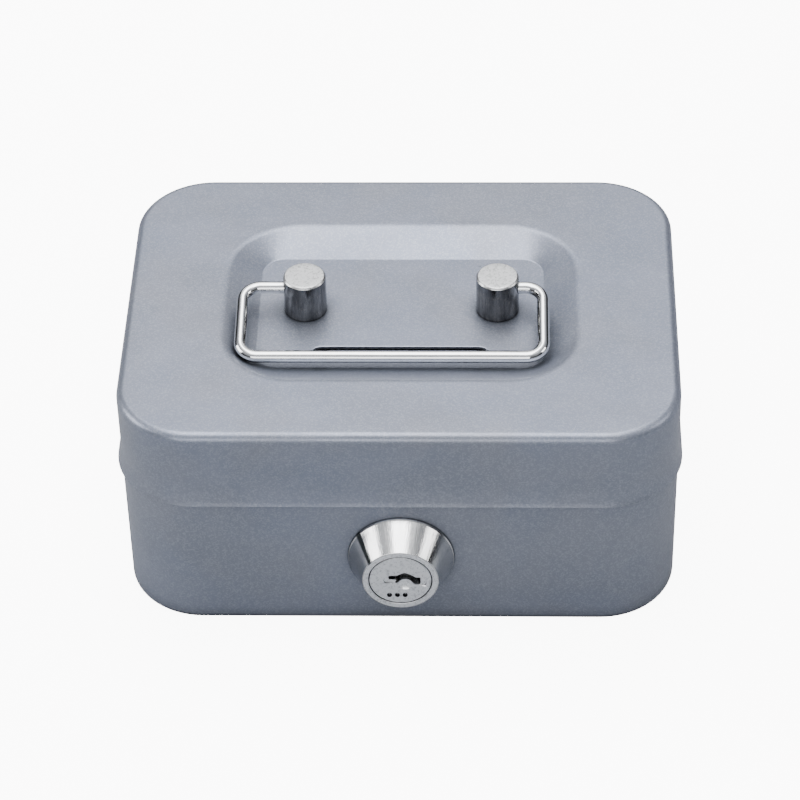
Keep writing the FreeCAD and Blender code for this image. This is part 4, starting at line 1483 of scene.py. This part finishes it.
@dataclass
class Lock:
    """Cam lock front: conical bezel, face ring and slotted plug.

    Sizes are in millimetres and heights are from the wall.
    """

    bezel: float = 11.9
    rim: float = 0.8
    face: float = 8.5
    rise: float = 7.8
    mouth: float = 7.15
    head: float = 6.93
    head_depth: float = 1.8
    core: float = 5.5
    core_bore: float = 5.56
    barrel: float = 8.0
    barrel_half_flat: float = 7.0
    barrel_depth: float = 9.5
    tail: float = 3.0
    tail_depth: float = 12.15
    shift: float = 0.95
    recess: tuple[tuple[float, float], ...] = (
        (-4.75, -0.15), (-4.5, -0.85), (-2.0, -0.8), (-0.6, -0.55), (0.9, -0.35), (2.2, -0.95),
        (3.3, -1.4), (4.75, -1.5), (4.9, -0.2), (4.1, 0.95), (-3.0, 1.15), (-4.4, 0.9))
    recess_depth: float = 0.28
    keyway: tuple[tuple[float, float], ...] = (
        (-3.66, 1.42), (-3.62, 0.12), (-1.75, -0.05), (-2.25, -0.78), (-1.5, -0.85), (-0.75, -0.2),
        (0.25, 0.0), (1.2, -0.25), (2.15, -1.2), (3.55, -1.4), (3.55, 0.70), (2.5, 1.0), (1.4, 1.8),
        (-0.15, 2.42), (-1.7, 1.5))
    keyway_end: float = -6.0
    dots: tuple[float, ...] = (-2.5, -0.75, 1.0)
    dot_level: float = -4.5
    dot_half_width: float = 0.58
    dot_half_height: float = 0.7
    dot_depth: float = 0.6
    scoop_radius: float = 3.6
    scoop_depth: float = 0.62
    scoop_spot: tuple[float, float] = (0.1, -0.75)
    core_end: float = -9.55
    clear: float = 1.0

    def build_housing(self, axis: Vector) -> bpy.types.Object:
        """Turn the housing.

        Args:
            axis: Axis point on the wall, metres.

        Returns:
            The mesh object.
        """
        slope = (self.bezel - self.face - 0.15) / (self.rise - self.rim - 0.35)
        outside = [(self.core_bore, -self.barrel_depth), (self.barrel - 0.3, -self.barrel_depth),
                   (self.barrel, 0.3 - self.barrel_depth), (self.barrel, -0.02), (self.bezel - 0.1, 0.0),
                   (self.bezel, 0.1), (self.bezel, self.rim - 0.2), (self.bezel - 0.12, self.rim - 0.04)]
        cone_steps = 6
        start, end = self.rim + 0.04, self.rise - 0.26
        for step in range(cone_steps + 1):
            z = start + (end - start) * step / cone_steps
            outside.append((self.bezel - 0.22 - slope * (z - start), z))
        outside += [(self.face + 0.04, self.rise - 0.09), (self.face - 0.08, self.rise - 0.01),
                    (self.face - 0.2, self.rise)]
        seat = self.rise - self.head_depth - 0.1
        inside = [(self.mouth + 0.12, self.rise), (self.mouth, self.rise - 0.12), (self.mouth, seat),
                  (self.core_bore, seat), (self.core_bore, -self.barrel_depth)]
        finishes = [0] * (len(outside) - 1) + [1] * len(inside)
        return lathe("lock_bezel", outside + inside, 120, wall_frame(axis), finishes, self.barrel_half_flat)

    def build_plug(self, axis: Vector) -> bpy.types.Object:
        """Turn the plug, then cut its key slot, recess, thumb scoop and punched dots.

        Args:
            axis: Axis point on the wall, metres.

        Returns:
            The mesh object.
        """
        top = self.rise - 0.05
        seat = self.rise - self.head_depth
        profile = [(0, self.core_end), (self.core, self.core_end), (self.core, seat),
                   (self.head - 0.05, seat), (self.head, seat + 0.05), (self.head, top - 0.14),
                   (self.head - 0.12, top), (0, top)]
        plug = lathe("lock_plug_turned", profile, 96)
        above = top + self.clear
        cuts = (("recess_cutter", self.recess, top - self.recess_depth),
                ("slot_cutter", self.keyway, self.keyway_end))
        for name, corners, low in cuts:
            outline = flowing([(x + self.shift, y) for x, y in corners])
            carve(plug, prism(name, outline, low, above))
        carve(plug, self._scoop(top))
        for x in self.dots:
            dot = [(x + self.dot_half_width * cos, self.dot_level + self.dot_half_height * sin)
                   for cos, sin in round_points(24)]
            carve(plug, prism("dot_cutter", dot, top - self.dot_depth, above))
        to_metres = Matrix.Diagonal((MM, MM, MM, 1))
        plug.data.transform(to_metres @ wall_frame(axis) @ to_metres.inverted())
        smooth(plug, 12.0)
        return plug

    def _scoop(self, top: float) -> bpy.types.Object:
        """Half-round scoop under the key slot's arch.

        Args:
            top: Height of the plug face.

        Returns:
            Cutter object.
        """
        bowl = arc((0, 0), self.scoop_radius, -90, 0, 30)
        across, up = self.scoop_spot
        spot = Matrix.Translation((self.shift + across, up, top + self.scoop_radius - self.scoop_depth))
        return lathe("scoop_cutter", bowl + [(0, 0)], 48, spot)

    def build_tail(self, axis: Vector) -> bpy.types.Object:
        """Square tail behind the plug that carries the cam.

        Args:
            axis: Axis point on the wall, metres.

        Returns:
            The mesh object.
        """
        t = self.tail
        square = [(-t, -t), (t, -t), (t, t), (-t, t)]
        tail = prism("plug_tail", square, -self.tail_depth, self.core_end, wall_frame(axis))
        soften(tail, 0.15)
        return tail

    def dress(self, axis: Vector, chrome: bpy.types.Material, faced: bpy.types.Material) -> None:
        """Build the lock's pieces, plate the housing and hang the plug and its tail on their body.

        Args:
            axis: Axis point on the wall, metres.
            chrome: Cone material.
            faced: Face, plug and tail material.
        """
        attach(self.build_housing(axis), Body.BASE, [chrome, faced], ("lock_housing",))
        attach(self.build_plug(axis), Body.PLUG, [faced], ("lock_plug",))
        attach(self.build_tail(axis), Body.PLUG, [faced])


@dataclass
class WeldMarks:
    """Shallow resistance-weld dimples left on a hinge leaf. Sizes in millimetres."""

    node: str
    body: Body
    height: float
    leaf: float = 0.8
    swell: float = 0.14
    spots: tuple[float, ...] = (-24.0, -8.0, 8.0, 24.0)

    def build(self) -> bpy.types.Object:
        """Raise one ringed dimple at each spot.

        Returns:
            The mesh object.
        """
        low, _ = (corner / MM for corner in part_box(self.node))
        face = low.y + self.leaf
        profile = [(0.45, 0.03), (0.8, 0.07), (1.05, 1.0), (1.25, 1.0), (1.45, 0.25), (1.6, -0.3)]
        work = Sculptor()
        for x in self.spots:
            rings = []
            for radius, up in reversed(profile):
                rings.append([Vector((x + radius * cos, face + up * self.swell, self.height + radius * sin))
                              for cos, sin in round_points(32)])
            work.skin(rings, cap_first=False)
        marks = work.finish(f"{self.node}_welds", 60.0)
        merge_close(marks)
        return marks

    def dress(self, marks: bpy.types.Object, paint: bpy.types.Material) -> None:
        """Paint the dimples like their leaf.

        Args:
            marks: The mesh object.
            paint: Lacquer material.
        """
        attach(marks, self.body, [paint])


@dataclass
class Hardware:
    """CAD pieces shown as they are, given a finish and smooth shading."""

    paint: tuple[str, ...] = ("hinge_leaf_base", "hinge_leaf_lid")
    zinc: tuple[str, ...] = ("hinge_pin", "strike_plate", "lock_washer", "lock_nut", "stop_washer",
                             "lock_cam", "cam_washer", "cam_screw", "post_screws", "post_washers")
    brass: tuple[str, ...] = ("wafers",)

    def dress(self, nodes: dict[str, bpy.types.Object], paint: bpy.types.Material, zinc: bpy.types.Material,
              brass: bpy.types.Material) -> None:
        """Finish every visible CAD piece.

        Args:
            nodes: CAD nodes by name.
            paint: Lacquer.
            zinc: Zinc plate.
            brass: Brass.
        """
        groups = ((self.paint, paint, Slot.PAINT), (self.zinc, zinc, Slot.ZINC),
                  (self.brass, brass, Slot.BRASS))
        for names, material, slot in groups:
            for name in names:
                piece = nodes[name]
                piece.data.materials.clear()
                piece.data.materials.append(material)
                piece.data.polygons.foreach_set("material_index", [0] * len(piece.data.polygons))
                smooth(piece, 30.0)
                LOG.info("%s: %s", name, slot.value)


# --------------------------------------------------------------------------------------------- studio
@dataclass(frozen=True)
class SoftBox:
    """Rectangular soft light. Sizes in metres.

    Args:
        name: Light name.
        at: Position.
        aim: Point it faces.
        width: Width.
        height: Height.
        power: Watts.
    """

    name: str
    at: tuple[float, float, float]
    aim: tuple[float, float, float]
    width: float
    height: float
    power: float

    def build(self) -> None:
        """Hang the light."""
        data = bpy.data.lights.new(self.name, "AREA")
        data.shape, data.size, data.size_y, data.energy = "RECTANGLE", self.width, self.height, self.power
        lamp = bpy.data.objects.new(self.name, data)
        bpy.context.scene.collection.objects.link(lamp)
        lamp.location = self.at
        lamp.rotation_mode = "QUATERNION"
        lamp.rotation_quaternion = (Vector(self.aim) - Vector(self.at)).to_track_quat("-Z", "Y")


@dataclass
class Studio:
    """Pale floor, soft boxes, surrounding light and the camera. Sizes in metres, angles in radians."""

    camera_at: tuple[float, float, float] = (0.0219, -0.56123, 0.52216)
    yaw: float = -0.04044
    pitch: float = 0.7232
    roll: float = -0.02469
    lens: float = 144.41
    sensor: float = 36.0
    floor_half: float = 12.0
    floor_gap: float = 0.00002
    boxes: tuple[SoftBox, ...] = (
        SoftBox("overhead_box", (0.0, 0.02, 0.95), (0.0, 0.0, 0.05), 1.1, 0.85, 1.2),
        SoftBox("key_box", (-0.03, 0.21, 0.93), (-0.03, 0.21, 0.0), 0.52, 0.82, 8.3),
        SoftBox("back_box", (-0.05, 0.78, 0.70), (0.0, 0.0, 0.05), 1.0, 0.5, 1.8),
        SoftBox("front_box", (-0.10, -1.0, 0.42), (0.0, 0.0, 0.03), 0.9, 0.5, 4.4),
        SoftBox("left_box", (-0.95, 0.0, 0.45), (0.0, 0.0, 0.03), 0.55, 0.55, 5.2),
        SoftBox("right_box", (0.95, -0.05, 0.52), (0.0, 0.0, 0.03), 0.4, 0.4, 2.2),
    )
    sky: tuple[tuple[float, float], ...] = (
        (0.30, 0.03), (0.50, 0.12), (0.66, 0.30), (0.75, 0.42), (0.85, 0.6))
    front_glow: float = 0.12

    def build(self) -> None:
        """Set up everything round the object."""
        self._floor()
        self._world()
        for box in self.boxes:
            box.build()
        self._camera()

    def _floor(self) -> None:
        """Large plain floor."""
        work = Sculptor()
        half = self.floor_half / MM
        spots = [Vector((x * half, y * half, 0)) for x, y in ((-1, -1), (1, -1), (1, 1), (-1, 1))]
        work.face(tuple(work.ring(spots)))
        floor = work.finish("studio_floor")
        floor.location.z = -self.floor_gap
        floor.data.materials.append(StudioFloor("pale_floor").build())

    def _world(self) -> None:
        """Soft room light: bright above, grey at the horizon, with uneven broad patches."""
        world = bpy.data.worlds.new("soft_room")
        world.use_nodes = True
        bpy.context.scene.world = world
        tree = world.node_tree
        tree.nodes.clear()
        w = Wiring(tree)
        out = w.node("ShaderNodeOutputWorld")
        way = w.node("ShaderNodeTexCoord").outputs["Generated"]
        parts = w.node("ShaderNodeSeparateXYZ", {"Vector": way})
        ramp = w.node("ShaderNodeValToRGB", {"Fac": w.spread(parts.outputs["Z"], -0.2, 1.0)})
        stops = ramp.color_ramp.elements
        stops[0].position, stops[0].color = 0.0, (0.03, 0.03, 0.035, 1)
        stops[1].position, stops[1].color = 1.0, (0.8, 0.81, 0.83, 1)
        for place, light in self.sky:
            stop = stops.new(place)
            stop.color = (light * 0.97, light * 0.99, light * 1.05, 1)
        forward = w.spread(w.math("MULTIPLY", parts.outputs["Y"], -1.0), 0.25, 0.95)
        level = w.spread(w.math("ABSOLUTE", parts.outputs["Z"]), 0.6, 0.05)
        glow = w.math("MULTIPLY", w.math("MULTIPLY", forward, level), self.front_glow)
        patches = w.spread(w.noise(way, 2.4, 2.0, 0.5, 0.4), 0.38, 0.62, 0.62, 1.15)
        lit = w.mix(1.0, ramp.outputs["Color"], w.grey(glow), Blend.ADD)
        shade = w.mix(1.0, lit, w.grey(patches), Blend.MULTIPLY)
        sky = w.node("ShaderNodeBackground", {"Color": shade, "Strength": 1.0})
        tree.links.new(sky.outputs[0], out.inputs[0])

    def _camera(self) -> None:
        """Long lens looking down at the front."""
        flat = math.cos(self.pitch)
        forward = Vector((math.sin(self.yaw) * flat, math.cos(self.yaw) * flat, -math.sin(self.pitch)))
        level = Vector((math.cos(self.yaw), -math.sin(self.yaw), 0))
        up = level.cross(forward)
        right = level * math.cos(self.roll) + up * math.sin(self.roll)
        crown = up * math.cos(self.roll) - level * math.sin(self.roll)
        data = bpy.data.cameras.new("product_camera")
        data.lens, data.sensor_width, data.clip_start, data.clip_end = self.lens, self.sensor, 0.05, 20.0
        camera = bpy.data.objects.new("product_camera", data)
        bpy.context.scene.collection.objects.link(camera)
        turn = Matrix((right, crown, -forward)).transposed().to_4x4()
        camera.matrix_world = Matrix.Translation(self.camera_at) @ turn
        bpy.context.scene.camera = camera


def joint_spot(name: str) -> Vector:
    """Where a joint of the frame sits.

    Args:
        name: Joint name.

    Returns:
        Its position in metres.
    """
    return Vector(next(joint["pos_m"] for joint in frame["joints"] if joint["name"] == name))


def main() -> None:
    """Build, dress and light the box."""
    logging.basicConfig(level=logging.INFO, format="%(message)s")
    effects = Effects()
    lock_axis = joint_spot("lock_turn")
    paint = SatinLacquer("grey_lacquer").build(effects)
    hinge_paint = SatinLacquer("hinge_lacquer", rub=0.0).build(effects)
    chrome = BrightPlate("chrome_wire").build(effects)
    bezel_chrome = ConeChrome("chrome_bezel", centre=tuple(lock_axis)).build(effects)
    faced = TurnedSatin("faced_metal", centre=tuple(lock_axis), along=1).build(effects)
    zinc = ZincPlate("zinc_plate").build(effects)
    brass = StampedBrass("wafer_brass").build(effects)

    lid = LidShell()
    lid.dress(lid.build(), paint)
    base = BaseShell()
    base.dress(base.build(lock_axis), paint)
    bail = Bail()
    bail.dress(bail.build(joint_spot("bail_swing")), chrome)
    # Each post's number is the painted dark reflection tone of its side.
    for post in (Post("post_left", 0.27), Post("post_right", 0.21)):
        post.dress(post.build(), effects)
    Lock().dress(lock_axis, bezel_chrome, faced)
    for welds in (WeldMarks("hinge_leaf_base", Body.BASE, 27.0), WeldMarks("hinge_leaf_lid", Body.LID, 43.0)):
        welds.dress(welds.build(), hinge_paint)
    Hardware().dress(frame["nodes"], hinge_paint, zinc, brass)
    Studio().build()


if __name__ == "__main__":
    main()
